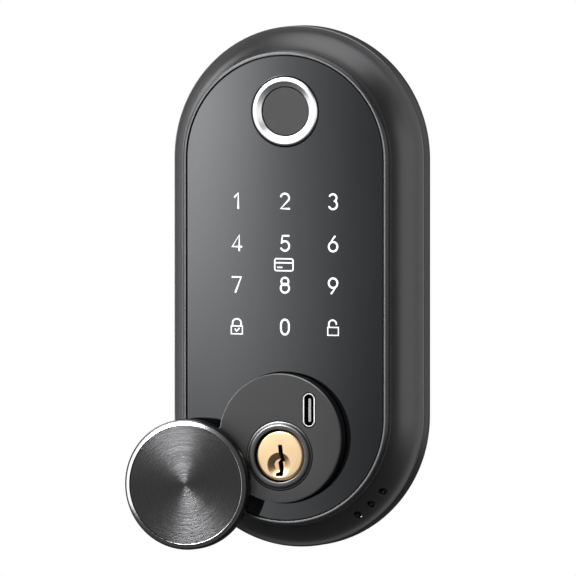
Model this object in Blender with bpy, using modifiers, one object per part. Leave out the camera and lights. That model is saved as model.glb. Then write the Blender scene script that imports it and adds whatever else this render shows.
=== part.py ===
"""Outside unit of a keypad and fingerprint deadbolt, as an assembly of separate parts.

Frame: the door's outer face is the plane Y = 0 and the lock stands off it towards -Y. +Z is up, +X is to
the right for someone facing the door. The origin is the centre of the stadium-shaped body on that plane.

Pieces that face the user are drawn flat, in a local frame of x to the right, y up and z out of the door, and
turned to stand against the door by place_front(). "height" always means the distance out from the door.
"""

from math import acos, cos, pi, radians, sin

import bmesh
import bpy
from mathutils import Matrix, Vector

MM = 0.001
GAP = 0.3 * MM
MERGE = 0.00001
LARGE_STEPS = 64
ROUND_STEPS = 40
SMALL_STEPS = 20
TINY_STEPS = 10
SHARP_ANGLE = radians(35)

# Body: a stadium, a little over 148 mm tall and 75 mm wide
BODY_RADIUS = 37.7 * MM
ARC_CENTRE = 36.5 * MM
BODY_STEPS = 24
RIM_BACK = 0.1 * MM
RIM_FRONT = 5.6 * MM
RIM_EDGE = 0.5 * MM
COVE_TOP_RADIUS = 31.2 * MM
COVE_TOP = 15.3 * MM
COVE_STEPS = 6
WALL = 2.0 * MM
INNER_COVE_RADIUS = COVE_TOP_RADIUS - 1.4 * WALL
LEDGE_RADIUS = 27.0 * MM
LEDGE_FRONT = 15.0 * MM
LEDGE_BACK = 13.0 * MM

# Glass and its bezel
GLASS_RADIUS = 29.5 * MM
GLASS_FRONT = 17.3 * MM
GLASS_BACK = 15.3 * MM
BEZEL_INNER = 29.8 * MM
BEZEL_OUTER = 31.1 * MM
BEZEL_LAND = 0.35 * MM
BEZEL_FRONT = 17.6 * MM
BEZEL_BACK = 15.6 * MM
BEZEL_STEPS = 3

# Fingerprint reader
FINGER_Z = 50.2 * MM
RING_RADIUS = 9.85 * MM
RING_LAND_OUTER = 9.25 * MM
RING_LAND_INNER = 8.65 * MM
RING_HOLE = 7.15 * MM
SENSOR_RADIUS = 6.8 * MM
RING_PROUD = 0.45 * MM
SENSOR_BELOW = 0.25 * MM
SENSOR_BACK = GLASS_BACK - 0.6 * MM

# Key boss, with the key cylinder below its centre and the power port above
BOSS_Z = -42.5 * MM
BOSS_RADIUS = 18.4 * MM
BOSS_FRONT = 21.8 * MM
BOSS_BACK = 13.0 * MM
BOSS_EDGE = 0.4 * MM
BOSS_FLANGE = 1.4 * MM
KEY_Z = BOSS_Z - 5.0 * MM
COLLAR_RADIUS = 9.75 * MM
COLLAR_HOLE = 7.6 * MM
COLLAR_FRONT = BOSS_FRONT + 0.5 * MM
COLLAR_SLOPE = 1.2 * MM
COLLAR_EDGE = 0.15 * MM
USB_X = 8.8 * MM
USB_Z = BOSS_Z + 8.1 * MM
USB_WIDTH = 3.7 * MM
USB_HEIGHT = 9.7 * MM
USB_WALL = 0.45 * MM
USB_BACK = 13.3 * MM
TONGUE_WIDTH = 0.7 * MM
TONGUE_HEIGHT = 6.7 * MM

# Key cylinder
PLUG_HEAD_RADIUS = 7.2 * MM
PLUG_RADIUS = 6.35 * MM
PLUG_FRONT = BOSS_FRONT - GAP
PLUG_SHOULDER = PLUG_FRONT - 2.5 * MM
PLUG_BACK = -9.0 * MM
PLUG_EDGE = 0.5 * MM
GROOVE_LOW = PLUG_BACK + 0.8 * MM
GROOVE_HIGH = PLUG_BACK + 1.6 * MM
GROOVE_DEPTH = 1.0 * MM
DISH_X = -0.3 * MM
DISH_DROP = 2.6 * MM
DISH_RADIUS = 3.5 * MM
DISH_DEPTH = 0.9 * MM
CYLINDER_RADIUS = 8.7 * MM
CYLINDER_FRONT = 12.7 * MM
CYLINDER_BACK = -7.0 * MM
BIBLE_WIDTH = 8.4 * MM
BIBLE_TOP = 15.8 * MM
CHAMBER_COVER = 0.8 * MM
PIN_COUNT = 5
PIN_PITCH = 3.6 * MM
FIRST_PIN = 10.0 * MM
PIN_RADIUS = 1.15 * MM
PIN_HOLE = 1.45 * MM
SHEAR_LINE = PLUG_RADIUS + 0.15 * MM
KEY_PIN_FOOT = 2.6 * MM
PIN_DROP = 1.3 * MM
DRIVER_LENGTH = 3.4 * MM
SPRING_WIRE = 0.17 * MM
SPRING_RADIUS = 0.9 * MM
SPRING_TURNS = 4
TAIL_SLOT_DEPTH = 2.0 * MM
TAILPIECE_LENGTH = 42.0 * MM
TAILPIECE_WIDTH = 6.4 * MM
TAILPIECE_THICKNESS = 2.4 * MM

# Swinging cover: its pin stands on the boss, and it rests open, half a turn away from closed
COVER_RADIUS = 18.55 * MM
COVER_BACK = COLLAR_FRONT + GAP
COVER_WALL_TOP = COVER_BACK + 3.2 * MM
COVER_FRONT = COVER_BACK + 3.8 * MM
COVER_BEVEL_OUTER = 18.0 * MM
COVER_BEVEL_INNER = 16.9 * MM
COVER_SKIN = 1.1 * MM
COVER_RECESS = COVER_FRONT - 0.9 * MM
COVER_INSIDE = COVER_RECESS - COVER_SKIN
LINER_POCKET = COVER_BACK + 0.8 * MM
PIVOT_X = -13.4 * MM
PIVOT_Z = BOSS_Z - 6.75 * MM
PIVOT_PIN_RADIUS = 1.7 * MM
PIVOT_NECK_RADIUS = 1.1 * MM
PIVOT_TIP = BOSS_BACK - 2.2 * MM
PIVOT_GROOVE_LOW = PIVOT_TIP + 0.6 * MM
PIVOT_GROOVE_HIGH = PIVOT_GROOVE_LOW + 1.0 * MM
BUSH_RADIUS = 2.6 * MM
MAGNET_RADIUS = 2.0 * MM
MAGNET_LENGTH = 3.0 * MM
MAGNET_SKIN = 1.4 * MM

# Back of the body
GASKET_OUTER = BODY_RADIUS - WALL - GAP
GASKET_INNER = GASKET_OUTER - 1.5 * MM
GASKET_FRONT = 0.8 * MM
PLATE_RADIUS = GASKET_INNER - GAP
PLATE_FRONT = 1.5 * MM
SCREW_X = 26.0 * MM
SCREW_Z = 28.0 * MM
SCREW_POST_RADIUS = 3.0 * MM
SCREW_POST_TOP = LEDGE_FRONT - WALL / 2
SCREW_SHAFT_RADIUS = 1.25 * MM
SCREW_HEAD_RADIUS = 2.6 * MM
SCREW_HEAD_DEPTH = 1.2 * MM
SCREW_LENGTH = 8.6 * MM
SCREW_CORNERS = ((1, 1), (-1, 1), (-1, -1), (1, -1))
PILOT_DEPTH = 10.0 * MM
POST_X = 18.0 * MM
POST_Z = -40.0 * MM
POST_RADIUS = 3.4 * MM
POST_LENGTH = 12.0 * MM
POST_FLANGE = 1.2 * MM
POST_THREAD_RADIUS = 2.1 * MM
CABLE_Z = -18.0 * MM
CABLE_SLOT_WIDTH = 15.0 * MM
CABLE_SLOT_HEIGHT = 9.0 * MM

# Sound holes in the cove, on an arc about the bottom arc's centre
SOUND_HOLE_RADIUS = 0.95 * MM
SOUND_HOLE_REACH = 12.0 * MM
SOUND_ARC_RADIUS = 33.8 * MM
SOUND_ANGLES = (-39.4, -48.0, -56.6)
SPEAKER_RADIUS = 5.5 * MM
SPEAKER_PLACE = 25.5 * MM

# Boards behind the glass
BOARD_THICKNESS = 1.5 * MM
LIGHT_GUIDE_FRONT = 15.0 * MM
TOUCH_BOARD_FRONT = 13.2 * MM
MAIN_BOARD_FRONT = 7.0 * MM
BOARD_CORNER = 3.0 * MM
BOARD_HOLE = 1.4 * MM
MAIN_BOARD_Z = 14.0 * MM
CHIP_SIZE = 10.0 * MM
SOCKET_Z = -9.0 * MM
SPEAKER_FRONT = 5.4 * MM
SPEAKER_BACK = 2.0 * MM
KEY_COLUMN = 14.5 * MM
KEY_ROWS = (24.7 * MM, 12.7 * MM, 0.8 * MM, -11.1 * MM)
KEY_MIDDLE_Z = (KEY_ROWS[0] + KEY_ROWS[-1]) / 2
KEY_MARGIN = 12.0 * MM
KEY_WINDOW = 4.2 * MM

COLOURS = {
    "gunmetal": ((0.075, 0.075, 0.078), 0.38, 0.8),
    "bezel_metal": ((0.11, 0.11, 0.115), 0.25, 0.9),
    "black_glass": ((0.02, 0.021, 0.024), 0.05, 0.0),
    "polished_steel": ((0.86, 0.86, 0.87), 0.12, 1.0),
    "sensor_grey": ((0.105, 0.105, 0.108), 0.45, 0.0),
    "matt_black": ((0.07, 0.07, 0.072), 0.55, 0.0),
    "satin_black": ((0.05, 0.05, 0.054), 0.3, 0.6),
    "brass": ((0.83, 0.6, 0.32), 0.3, 1.0),
    "steel": ((0.6, 0.6, 0.61), 0.3, 1.0),
    "pale_plastic": ((0.6, 0.6, 0.6), 0.5, 0.0),
    "white_plastic": ((0.8, 0.8, 0.8), 0.5, 0.0),
    "board_green": ((0.03, 0.13, 0.06), 0.5, 0.0),
    "copper": ((0.75, 0.36, 0.2), 0.35, 1.0),
    "chip_black": ((0.03, 0.03, 0.03), 0.5, 0.0),
    "spun_metal": ((0.16, 0.16, 0.165), 0.3, 1.0),
    "rubber_black": ((0.03, 0.03, 0.03), 0.8, 0.0),
    "nickel": ((0.7, 0.69, 0.66), 0.25, 1.0),
}

FRONT_TURN = Matrix.Rotation(pi / 2, 4, "X")


# ---------------------------------------------------------------- scene and helpers

def clear_scene():
    """Remove every object, so the script gives the same model each time it is run."""
    for item in list(bpy.data.objects):
        bpy.data.objects.remove(item, do_unlink=True)


def new_collection(name):
    """Return an empty collection of this name, linked to the scene."""
    old = bpy.data.collections.get(name)
    if old:
        bpy.data.collections.remove(old)
    collection = bpy.data.collections.new(name)
    bpy.context.scene.collection.children.link(collection)
    return collection


def give_material(part, colour_name):
    """Give a part its own Principled material."""
    colour, roughness, metallic = COLOURS[colour_name]
    material = bpy.data.materials.new(part.name)
    material.use_nodes = True
    shader = material.node_tree.nodes["Principled BSDF"]
    shader.inputs["Base Color"].default_value = (*colour, 1.0)
    shader.inputs["Roughness"].default_value = roughness
    shader.inputs["Metallic"].default_value = metallic
    part.data.materials.clear()
    part.data.materials.append(material)


def add_mesh(name, mesh, collection):
    """Make an object from a mesh and link it."""
    part = bpy.data.objects.new(name, mesh)
    collection.objects.link(part)
    return part


def smooth(part):
    """Shade a part smooth, with its real edges kept sharp."""
    part.data.shade_smooth()
    part.data.set_sharp_from_angle(angle=SHARP_ANGLE)


def place_front(part, x=0.0, z=0.0):
    """Stand a part that was drawn flat against the door, with its local origin at x, z."""
    part.matrix_world = Matrix.Translation((x, 0.0, z)) @ FRONT_TURN


def turned(name, profile, collection, steps=ROUND_STEPS):
    """Turn a closed profile of (radius, height) points about local z.

    The points run down the outer side first and come back up the inside, or end on the axis.
    """
    mesh = bpy.data.meshes.new(name)
    points = [(radius, 0.0, height) for radius, height in profile]
    count = len(points)
    on_axis = profile[0][0] == 0.0 and profile[-1][0] == 0.0
    edges = [(i, i + 1) for i in range(count - 1)]
    if not on_axis:
        edges.append((count - 1, 0))
    mesh.from_pydata(points, edges, [])
    part = add_mesh(name, mesh, collection)
    screw = part.modifiers.new("turn", "SCREW")
    screw.axis = "Z"
    screw.angle = 2 * pi
    screw.steps = steps
    screw.render_steps = steps
    screw.use_merge_vertices = True
    screw.merge_threshold = MERGE
    screw.use_smooth_shade = True
    return part


def disc(name, radius, low, high, collection, steps=ROUND_STEPS, edge=0.0, hole=0.0):
    """Turn a plain or ring-shaped disc, with a small bevel on its front edge."""
    profile = [(radius - edge, high)] if edge else []
    profile += [(radius, high - edge), (radius, low)]
    if hole:
        profile += [(hole, low), (hole, high)]
    else:
        profile = [(0.0, high)] + profile + [(0.0, low)]
    return turned(name, profile, collection, steps)


def stadium_sweep(name, profile, collection, half_length=ARC_CENTRE, steps=BODY_STEPS):
    """Sweep a closed (radius, height) profile once around a stadium that stands along local y."""
    work = bmesh.new()
    verts = [work.verts.new((radius, -half_length, height)) for radius, height in profile]
    front = [work.edges.new((verts[i], verts[(i + 1) % len(verts)])) for i in range(len(verts))]
    for side in (1, -1):
        moved = bmesh.ops.extrude_edge_only(work, edges=front)["geom"]
        new_verts = [item for item in moved if isinstance(item, bmesh.types.BMVert)]
        front = [item for item in moved if isinstance(item, bmesh.types.BMEdge)]
        bmesh.ops.translate(work, verts=new_verts, vec=(0.0, 2 * half_length * side, 0.0))
        spun = bmesh.ops.spin(
            work,
            geom=new_verts + front,
            cent=(0.0, half_length * side, 0.0),
            axis=(0.0, 0.0, 1.0),
            angle=pi,
            steps=steps,
        )["geom_last"]
        front = [item for item in spun if isinstance(item, bmesh.types.BMEdge)]
    bmesh.ops.remove_doubles(work, verts=work.verts, dist=MERGE)
    bmesh.ops.recalc_face_normals(work, faces=work.faces)
    mesh = bpy.data.meshes.new(name)
    work.to_mesh(mesh)
    work.free()
    return add_mesh(name, mesh, collection)


def circle(radius, x=0.0, y=0.0, steps=SMALL_STEPS):
    """Outline of a circle."""
    turns = [2 * pi * i / steps for i in range(steps)]
    return [(x + radius * cos(turn), y + radius * sin(turn)) for turn in turns]


def rounded_box(width, height, radius, x=0.0, y=0.0, steps=4):
    """Outline of a rectangle with round corners."""
    points = []
    for corner, (sx, sy) in enumerate(((1, 1), (-1, 1), (-1, -1), (1, -1))):
        centre_x = x + sx * (width / 2 - radius)
        centre_y = y + sy * (height / 2 - radius)
        for i in range(steps + 1):
            turn = (corner + i / steps) * pi / 2
            points.append((centre_x + radius * cos(turn), centre_y + radius * sin(turn)))
    return points


def stadium(radius, half_length=ARC_CENTRE, steps=BODY_STEPS):
    """Outline of a stadium that stands along y."""
    points = []
    for side in (1, -1):
        for i in range(steps + 1):
            turn = pi * i / steps + (0 if side == 1 else pi)
            points.append((radius * cos(turn), side * half_length + radius * sin(turn)))
    return points


def plate(name, outlines, low, high, collection):
    """Make a flat plate from an outline and any holes, as a filled 2D curve turned into a mesh."""
    curve = bpy.data.curves.new(name + "_curve", "CURVE")
    curve.dimensions = "2D"
    curve.fill_mode = "BOTH"
    curve.extrude = (high - low) / 2
    for outline in outlines:
        spline = curve.splines.new("POLY")
        spline.points.add(len(outline) - 1)
        for point, (x, y) in zip(spline.points, outline):
            point.co = (x, y, 0.0, 1.0)
        spline.use_cyclic_u = True
    holder = add_mesh(name + "_curve", curve, collection)
    mesh = solid_mesh_of(holder, name)
    mesh.transform(Matrix.Translation((0.0, 0.0, (low + high) / 2)))
    return add_mesh(name, mesh, collection)


def solid_mesh_of(holder, name):
    """Turn a curve object into a closed mesh and remove the curve."""
    bpy.context.view_layer.update()
    evaluated = holder.evaluated_get(bpy.context.evaluated_depsgraph_get())
    mesh = bpy.data.meshes.new_from_object(evaluated)
    mesh.name = name
    work = bmesh.new()
    work.from_mesh(mesh)
    bmesh.ops.remove_doubles(work, verts=work.verts, dist=MERGE)
    bmesh.ops.recalc_face_normals(work, faces=work.faces)
    work.to_mesh(mesh)
    work.free()
    bpy.data.objects.remove(holder, do_unlink=True)
    return mesh


def rod(name, radius, low, high, collection, x=0.0, y=0.0, steps=SMALL_STEPS):
    """Make a straight round rod along local z."""
    work = bmesh.new()
    bmesh.ops.create_cone(
        work, cap_ends=True, segments=steps, radius1=radius, radius2=radius, depth=high - low,
        matrix=Matrix.Translation((x, y, (low + high) / 2)),
    )
    mesh = bpy.data.meshes.new(name)
    work.to_mesh(mesh)
    work.free()
    return add_mesh(name, mesh, collection)


def block(name, size, centre, collection):
    """Make a box of this size about this centre."""
    work = bmesh.new()
    bmesh.ops.create_cube(work, size=1.0, matrix=Matrix.Translation(centre) @ Matrix.Diagonal((*size, 1.0)))
    mesh = bpy.data.meshes.new(name)
    work.to_mesh(mesh)
    work.free()
    return add_mesh(name, mesh, collection)


def boolean(part, other, operation):
    """Add or take away another shape, which stays hidden in the cutters' collection."""
    other.hide_render = True
    other.display_type = "WIRE"
    step = part.modifiers.new(other.name, "BOOLEAN")
    step.operation = operation
    step.solver = "EXACT"
    step.object = other


def cut(part, cutter):
    """Take a shape away from a part."""
    boolean(part, cutter, "DIFFERENCE")


def join(part, piece):
    """Add a shape to a part."""
    boolean(part, piece, "UNION")


def bevel(part, width, segments=1):
    """Take the sharp edges off a part."""
    step = part.modifiers.new("edges", "BEVEL")
    step.width = width
    step.segments = segments
    step.limit_method = "ANGLE"
    step.angle_limit = SHARP_ANGLE


# ---------------------------------------------------------------- body

def cove(outer_radius, outer_height, inner_radius, inner_height, steps=COVE_STEPS):
    """Quarter-ellipse hollow that leaves the rim facing forwards and ends upright at the bezel."""
    points = []
    for i in range(steps + 1):
        turn = pi / 2 * i / steps
        radius = outer_radius - (outer_radius - inner_radius) * sin(turn)
        height = inner_height - (inner_height - outer_height) * cos(turn)
        points.append((radius, height))
    return points


def make_housing(parts, cutters):
    """Front shell: rim, cove, ledge for the glass, four screw posts and three sound holes."""
    outside = [(BODY_RADIUS, RIM_BACK), (BODY_RADIUS, RIM_FRONT - RIM_EDGE)]
    outside += cove(BODY_RADIUS - RIM_EDGE, RIM_FRONT, COVE_TOP_RADIUS, COVE_TOP)
    ledge = [(BEZEL_INNER - GAP, COVE_TOP), (BEZEL_INNER - GAP, LEDGE_FRONT), (LEDGE_RADIUS, LEDGE_FRONT)]
    inside = cove(BODY_RADIUS - WALL, RIM_FRONT - WALL, INNER_COVE_RADIUS, LEDGE_BACK)
    inside.reverse()
    profile = outside + ledge + [(LEDGE_RADIUS, LEDGE_BACK)] + inside + [(BODY_RADIUS - WALL, RIM_BACK)]
    housing = stadium_sweep("housing", profile, parts)
    for number, (side, up) in enumerate(SCREW_CORNERS, 1):
        x = side * SCREW_X
        z = up * SCREW_Z
        low = PLATE_FRONT + GAP
        post = rod(f"screw_post_{number}", SCREW_POST_RADIUS, low, SCREW_POST_TOP, cutters, x, z)
        place_front(post)
        join(housing, post)
        radius = SCREW_SHAFT_RADIUS + GAP
        pilot = rod(f"screw_pilot_{number}", radius, 0.0, PILOT_DEPTH, cutters, x, z, TINY_STEPS)
        place_front(pilot)
        cut(housing, pilot)
    for number, angle in enumerate(SOUND_ANGLES, 1):
        x = SOUND_ARC_RADIUS * cos(radians(angle))
        z = SOUND_ARC_RADIUS * sin(radians(angle)) - ARC_CENTRE
        name = f"sound_hole_{number}"
        hole = rod(name, SOUND_HOLE_RADIUS, 0.0, SOUND_HOLE_REACH, cutters, x, z, TINY_STEPS)
        place_front(hole)
        cut(housing, hole)
    place_front(housing)
    return housing


def make_bezel(parts):
    """Thin raised lip around the glass, rounded on its outer side."""
    round_radius = BEZEL_OUTER - BEZEL_INNER - BEZEL_LAND
    centre_r = BEZEL_OUTER - round_radius
    centre_h = BEZEL_FRONT - round_radius
    profile = [(BEZEL_INNER, BEZEL_BACK), (BEZEL_INNER, BEZEL_FRONT)]
    for i in range(BEZEL_STEPS + 1):
        turn = pi / 2 * i / BEZEL_STEPS
        profile.append((centre_r + round_radius * sin(turn), centre_h + round_radius * cos(turn)))
    profile.append((BEZEL_OUTER, BEZEL_BACK))
    bezel = stadium_sweep("glass_bezel", profile, parts)
    place_front(bezel)
    return bezel


def make_glass(parts):
    """Touch glass, with one hole for the fingerprint reader and one for the key boss."""
    outlines = [
        stadium(GLASS_RADIUS),
        circle(RING_RADIUS + GAP, 0.0, FINGER_Z, ROUND_STEPS),
        circle(BOSS_RADIUS + GAP, 0.0, BOSS_Z, ROUND_STEPS),
    ]
    glass = plate("glass_panel", outlines, GLASS_BACK, GLASS_FRONT, parts)
    place_front(glass)
    return glass


def make_back_plate(parts, cutters):
    """Steel plate that closes the back, with holes for the cylinder, cable, posts and screws."""
    outlines = [
        stadium(PLATE_RADIUS),
        cylinder_outline(GAP, CHAMBER_COVER + 2 * GAP),
        rounded_box(CABLE_SLOT_WIDTH, CABLE_SLOT_HEIGHT, CABLE_SLOT_HEIGHT / 2, 0.0, CABLE_Z),
        circle(POST_RADIUS + GAP, POST_X, POST_Z),
        circle(POST_RADIUS + GAP, -POST_X, POST_Z),
    ]
    back = plate("back_plate", outlines, 0.0, PLATE_FRONT, parts)
    hole_radius = SCREW_SHAFT_RADIUS + 0.35 * MM
    sink_radius = SCREW_HEAD_RADIUS + 0.7 * MM
    sink_profile = [
        (0.0, PLATE_FRONT + GAP), (hole_radius, PLATE_FRONT + GAP), (hole_radius, PLATE_FRONT - 0.1 * MM),
        (sink_radius, -GAP), (0.0, -GAP),
    ]
    for number, (side, up) in enumerate(SCREW_CORNERS, 1):
        sink = turned(f"countersink_{number}", sink_profile, cutters, SMALL_STEPS)
        place_front(sink, side * SCREW_X, up * SCREW_Z)
        cut(back, sink)
    place_front(back)
    return back


def make_gasket(parts):
    """Rubber seal against the door, between the back plate and the rim."""
    profile = [
        (GASKET_OUTER, 0.0), (GASKET_OUTER, GASKET_FRONT), (GASKET_INNER, GASKET_FRONT), (GASKET_INNER, 0.0),
    ]
    gasket = stadium_sweep("gasket", profile, parts)
    place_front(gasket)
    return gasket


def make_grommet(parts):
    """Rubber ring that lines the cable slot."""
    width = CABLE_SLOT_WIDTH - 2 * GAP
    height = CABLE_SLOT_HEIGHT - 2 * GAP
    wall = 1.2 * MM
    lip = 0.8 * MM
    inner_height = height - 2 * wall
    outlines = [
        rounded_box(width, height, height / 2, 0.0, CABLE_Z),
        rounded_box(width - 2 * wall, inner_height, inner_height / 2, 0.0, CABLE_Z),
    ]
    grommet = plate("cable_grommet", outlines, 0.0, PLATE_FRONT + lip, parts)
    place_front(grommet)
    return grommet


def make_housing_screws(parts, cutters):
    """Four countersunk screws from the back plate into the housing's posts."""
    back = 0.1 * MM
    profile = [
        (0.0, SCREW_LENGTH), (SCREW_SHAFT_RADIUS, SCREW_LENGTH - 0.4 * MM),
        (SCREW_SHAFT_RADIUS, back + SCREW_HEAD_DEPTH), (SCREW_HEAD_RADIUS, back), (0.0, back),
    ]
    slot_size = (0.5 * MM, 2.4 * MM, 1.6 * MM)
    screws = []
    for number, (side, up) in enumerate(SCREW_CORNERS, 1):
        screw = turned(f"housing_screw_{number}", profile, parts, TINY_STEPS)
        for turn in (0.0, pi / 2):
            slot = block(f"screw_slot_{number}_{turn:.0f}", slot_size, (0.0, 0.0, 0.0), cutters)
            slot.data.transform(Matrix.Rotation(turn, 4, "Z"))
            place_front(slot, side * SCREW_X, up * SCREW_Z)
            cut(screw, slot)
        place_front(screw, side * SCREW_X, up * SCREW_Z)
        screws.append(screw)
    return screws


def make_mounting_posts(parts):
    """Two threaded posts that reach into the door for the through bolts."""
    low = PLATE_FRONT + GAP
    flange_radius = POST_RADIUS + 1.5 * MM
    chamfer = 0.5 * MM
    profile = [
        (0.0, low + POST_FLANGE), (flange_radius, low + POST_FLANGE), (flange_radius, low),
        (POST_RADIUS, low), (POST_RADIUS, chamfer - POST_LENGTH), (POST_RADIUS - chamfer, -POST_LENGTH),
        (POST_THREAD_RADIUS, -POST_LENGTH), (POST_THREAD_RADIUS, 0.0), (0.0, 0.0),
    ]
    posts = []
    for number, side in enumerate((1, -1), 1):
        post = turned(f"mounting_post_{number}", profile, parts, SMALL_STEPS)
        place_front(post, side * POST_X, POST_Z)
        posts.append(post)
    return posts


# ---------------------------------------------------------------- electronics

def make_fingerprint_ring(parts):
    """Polished ring: a low land, rounded outside and sloping down to the sensor inside."""
    top = GLASS_FRONT + RING_PROUD
    shoulder = RING_RADIUS - RING_LAND_OUTER
    profile = [
        (RING_LAND_OUTER, top),
        (RING_RADIUS - 0.4 * shoulder, top - 0.25 * shoulder),
        (RING_RADIUS, top - 0.7 * shoulder),
        (RING_RADIUS, GLASS_BACK),
        (RING_HOLE, GLASS_BACK),
        (RING_HOLE, GLASS_FRONT - GAP),
        (RING_LAND_INNER, top),
    ]
    ring = turned("fingerprint_ring", profile, parts)
    place_front(ring, 0.0, FINGER_Z)
    return ring


def make_fingerprint_sensor(parts):
    """Sensing disc, a little below the ring's edge."""
    high = GLASS_FRONT - SENSOR_BELOW
    sensor = disc("fingerprint_sensor", SENSOR_RADIUS, SENSOR_BACK, high, parts, edge=GAP / 2)
    place_front(sensor, 0.0, FINGER_Z)
    return sensor


def make_sensor_board(parts):
    """Small round board under the sensor."""
    high = SENSOR_BACK - GAP
    outline = circle(RING_RADIUS, 0.0, 0.0, ROUND_STEPS)
    board = plate("sensor_board", [outline], high - BOARD_THICKNESS, high, parts)
    place_front(board, 0.0, FINGER_Z)
    return board


def make_light_guide(parts, cutters):
    """White plate behind the numbers, with a raised round window behind each key."""
    high = LIGHT_GUIDE_FRONT
    width = 2 * KEY_COLUMN + KEY_MARGIN
    height = KEY_ROWS[0] - KEY_ROWS[-1] + KEY_MARGIN
    outline = rounded_box(width, height, BOARD_CORNER, 0.0, KEY_MIDDLE_Z)
    guide = plate("light_guide", [outline], high - 1.2 * MM, high - 0.5 * MM, parts)
    for row, z in enumerate(KEY_ROWS):
        for column in (-1, 0, 1):
            name = f"key_window_{row}_{column + 1}"
            window = rod(name, KEY_WINDOW, high - 1.0 * MM, high, cutters, column * KEY_COLUMN, z, TINY_STEPS)
            place_front(window)
            join(guide, window)
    place_front(guide)
    return guide


def circuit_board(name, width, height, centre_z, front, parts):
    """Circuit board with round corners and a hole in each upper corner."""
    hole_x = width / 2 - BOARD_CORNER
    hole_z = centre_z + height / 2 - BOARD_CORNER
    outlines = [
        rounded_box(width, height, BOARD_CORNER, 0.0, centre_z),
        circle(BOARD_HOLE, hole_x, hole_z, TINY_STEPS),
        circle(BOARD_HOLE, -hole_x, hole_z, TINY_STEPS),
    ]
    board = plate(name, outlines, front - BOARD_THICKNESS, front, parts)
    place_front(board)
    return board


def make_touch_board(parts):
    """Circuit board that senses the fingers through the glass."""
    return circuit_board("touch_board", 44.0 * MM, 52.0 * MM, KEY_MIDDLE_Z, TOUCH_BOARD_FRONT, parts)


def make_card_antenna(parts):
    """Flat loop that reads a card, behind the touch board."""
    high = TOUCH_BOARD_FRONT - BOARD_THICKNESS - GAP
    size = 40.0 * MM
    track = 3.5 * MM
    corner = 4.0 * MM
    outlines = [
        rounded_box(size, size, corner, 0.0, KEY_MIDDLE_Z),
        rounded_box(size - 2 * track, size - 2 * track, corner / 2, 0.0, KEY_MIDDLE_Z),
    ]
    antenna = plate("card_antenna", outlines, high - 0.4 * MM, high, parts)
    place_front(antenna)
    return antenna


def make_main_board(parts):
    """Main circuit board."""
    return circuit_board("main_board", 42.0 * MM, 56.0 * MM, MAIN_BOARD_Z, MAIN_BOARD_FRONT, parts)


def make_controller_chip(parts):
    """Largest chip on the main board."""
    low = MAIN_BOARD_FRONT + GAP
    outline = rounded_box(CHIP_SIZE, CHIP_SIZE, 0.05 * CHIP_SIZE, 0.0, MAIN_BOARD_Z + 2.0 * MM, 1)
    chip = plate("controller_chip", [outline], low, low + 1.2 * MM, parts)
    place_front(chip)
    return chip


def make_board_connector(parts, cutters):
    """Socket for the cable to the inside unit, open towards the cable slot."""
    high = MAIN_BOARD_FRONT - BOARD_THICKNESS - GAP
    width = 12.0 * MM
    depth = 5.0 * MM
    thickness = 3.2 * MM
    wall = 0.7 * MM
    centre_y = high - thickness / 2
    socket = block("board_connector", (width, depth, thickness), (0.0, SOCKET_Z, centre_y), parts)
    inside = (width - 2 * wall, depth, thickness - 2 * wall)
    hollow = block("connector_hollow", inside, (0.0, SOCKET_Z - 1.0 * MM, centre_y), cutters)
    place_front(hollow)
    cut(socket, hollow)
    place_front(socket)
    return socket


def make_speaker(parts):
    """Round sounder beside the sound holes."""
    angle = radians(SOUND_ANGLES[1])
    port_radius = 2.0 * MM
    port_floor = SPEAKER_FRONT - 0.8 * MM
    edge = 0.5 * MM
    profile = [
        (0.0, port_floor), (port_radius, port_floor), (port_radius, SPEAKER_FRONT),
        (SPEAKER_RADIUS - edge, SPEAKER_FRONT), (SPEAKER_RADIUS, SPEAKER_FRONT - edge),
        (SPEAKER_RADIUS, SPEAKER_BACK), (0.0, SPEAKER_BACK),
    ]
    speaker = turned("speaker", profile, parts, SMALL_STEPS)
    place_front(speaker, SPEAKER_PLACE * cos(angle), SPEAKER_PLACE * sin(angle) - ARC_CENTRE)
    return speaker


# ---------------------------------------------------------------- key boss and power port

def make_key_boss(parts, cutters):
    """Round boss with a flange under the glass, holes for the collar, port and bush, and a magnet pocket."""
    flange_top = GLASS_BACK - GAP
    profile = [
        (0.0, BOSS_FRONT), (BOSS_RADIUS - BOSS_EDGE, BOSS_FRONT), (BOSS_RADIUS, BOSS_FRONT - BOSS_EDGE),
        (BOSS_RADIUS, flange_top), (BOSS_RADIUS + BOSS_FLANGE, flange_top),
        (BOSS_RADIUS + BOSS_FLANGE, BOSS_BACK), (0.0, BOSS_BACK),
    ]
    boss = turned("key_boss", profile, parts, LARGE_STEPS)
    through = (BOSS_BACK - 1.0 * MM, BOSS_FRONT + 1.0 * MM)
    collar_hole = rod("collar_hole", COLLAR_RADIUS + GAP, *through, cutters, steps=ROUND_STEPS)
    place_front(collar_hole, 0.0, KEY_Z)
    cut(boss, collar_hole)
    port = rounded_box(USB_WIDTH + 2 * GAP, USB_HEIGHT + 2 * GAP, USB_WIDTH / 2 + GAP)
    port_hole = plate("port_hole", [port], *through, cutters)
    place_front(port_hole, USB_X, USB_Z)
    cut(boss, port_hole)
    bush_hole = rod("bush_hole", BUSH_RADIUS + GAP, *through, cutters)
    place_front(bush_hole, PIVOT_X, PIVOT_Z)
    cut(boss, bush_hole)
    pocket_top = BOSS_FRONT - MAGNET_SKIN
    pocket = rod("magnet_pocket", MAGNET_RADIUS + GAP, through[0], pocket_top, cutters)
    place_front(pocket, *boss_magnet_place())
    cut(boss, pocket)
    place_front(boss, 0.0, BOSS_Z)
    return boss


def boss_magnet_place():
    """Place of the boss's magnet, opposite the cover's pin."""
    return -PIVOT_X, PIVOT_Z


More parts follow.
